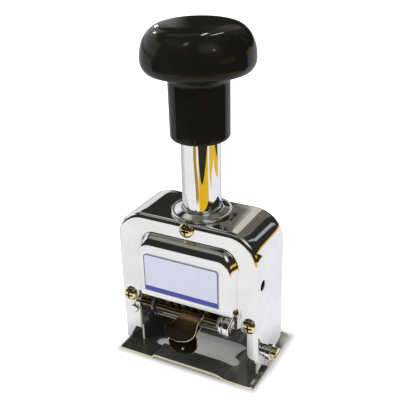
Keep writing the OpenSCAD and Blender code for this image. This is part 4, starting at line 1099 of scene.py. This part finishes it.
def glints(black):
    """Small lamps that only the knob mirrors: (bearing, rise, width and height in mm, power)."""
    lamps = [
        (-168.0, 12.6, 16.0, 14.0, 0.0270),
        (-150.0, 27.2, 18.0, 16.0, 0.0270),
        (-42.0, 63.6, 22.0, 60.0, 0.0297),
        (172.0, 56.0, 10.0, 80.0, 0.0810),
        (154.0, 56.4, 10.0, 80.0, 0.0810),
        (133.0, 41.6, 12.0, 60.0, 0.0405),
        (35.8, 36.5, 22.0, 22.0, 0.0162),
    ]
    view = Vector((0.45, -0.86, 0.24))
    head, head_r, head_h, distance = Vector((0, PLUNGER_Y * MM, 0.1245)), 0.0185, 0.0105, 0.28
    only = bpy.data.collections.new("knob_only")
    for obj in black:
        only.objects.link(obj)
    for k, (bearing, rise, width, height, power) in enumerate(lamps):
        b, r = math.radians(bearing), math.radians(rise)
        level = Vector((AHEAD_X * math.cos(b) + AHEAD_Y * math.sin(b),
                        AHEAD_X * math.sin(b) - AHEAD_Y * math.cos(b), 0))
        toward = level.normalized() * math.cos(r) + Vector((0, 0, math.sin(r)))
        normal = (toward + view).normalized()
        spot = head + Vector((normal.x * head_r, normal.y * head_r, normal.z * head_h))
        holder = area_lamp(f"glint_{k}", power, spot + toward * distance, toward)
        holder.data.shape = "RECTANGLE"
        holder.data.size, holder.data.size_y = width * MM, height * MM
        holder.visible_camera = holder.visible_diffuse = holder.visible_transmission = False
        holder.light_linking.receiver_collection = only


def world():
    w = bpy.data.worlds.new("studio")
    bpy.context.scene.world = w
    w.use_nodes = True
    n = Nodes(w.node_tree, "Generated")
    x, y, z = n.parts()
    bearing = n.bearing(x, y)
    rise = n.mul(n.math("ARCSINE", z), RADIAN)
    # what polished metal sees above the floor: a dark room, a white wall on the left and panels,
    # each as (bearings and softness), (rises and softness), colour
    tone = n.mix(n.band(rise, 49.0, 90.0, 8.0), (0.028, 0.028, 0.025), (0.17, 0.17, 0.15))
    panels = [
        ((-166.0, -92.0, 4.0), (1.0, 34.0, 8.0), (0.95, 0.95, 0.97)),
        ((134.5, 178.6, 1.5), (18.0, 46.0, 4.0), (0.15, 0.145, 0.12)),
        ((158.5, 174.8, 3.0), (19.0, 46.0, 4.0), (0.64, 0.62, 0.54)),
        ((119.2, 122.6, 1.5), (12.0, 34.0, 6.0), (0.46, 0.45, 0.46)),
        ((-112.0, -28.0, 10.0), (46.0, 64.0, 6.0), (0.30, 0.295, 0.26)),
        ((-180.5, -142.0, 5.0), (47.0, 61.0, 6.0), (0.62, 0.62, 0.58)),
        ((4.0, 50.0, 14.0), (32.0, 64.0, 14.0), (1.0, 1.0, 0.98)),
        ((40.0, 74.0, 4.0), (-4.0, 7.0, 3.0), (0.85, 0.55, 0.06)),
        ((104.0, 130.0, 3.0), (-2.5, 2.5, 1.5), (0.85, 0.55, 0.06)),
        ((-177.5, -160.0, 3.0), (-4.0, 20.0, 3.0), (0.85, 0.85, 0.86)),
    ]
    for across_band, up_band, color in panels:
        tone = n.mix(n.both(n.band(bearing, *across_band), n.band(rise, *up_band)), tone, color)
    rays = n.new("ShaderNodeLightPath").outputs
    direct = n.math("MAXIMUM", rays["Is Camera Ray"], rays["Is Transmission Ray"])
    plain = n.mix(direct, (0.72, 0.72, 0.72), (1.0, 1.0, 1.0))
    back = w.node_tree.nodes["Background"]
    n.put(back.inputs["Color"], n.mix(rays["Is Glossy Ray"], plain, tone))


def camera():
    at = Vector((0.12245, -0.22058, 0.19106))
    yaw, pitch, roll = (math.radians(a) for a in (28.70, 25.82, -1.66))
    focal_px, picture_px, sensor = 732.1, 400, 36.0
    forward = Vector((-math.sin(yaw) * math.cos(pitch), math.cos(yaw) * math.cos(pitch), -math.sin(pitch)))
    right = forward.cross(Vector((0, 0, 1))).normalized()
    down = forward.cross(right)
    axis_x = right * math.cos(roll) - down * math.sin(roll)
    axis_y = -(right * math.sin(roll) + down * math.cos(roll))
    data = bpy.data.cameras.new("camera")
    data.sensor_width, data.lens = sensor, focal_px / picture_px * sensor
    obj = add_object("camera", data)
    turn = Matrix((axis_x, axis_y, -forward)).transposed()
    obj.matrix_world = Matrix.Translation(at) @ turn.to_4x4()
    bpy.context.scene.camera = obj


studio_floor()
studio_lamps()
glints(knob_pieces)
world()
camera()
bpy.context.scene.view_settings.view_transform = "Standard"
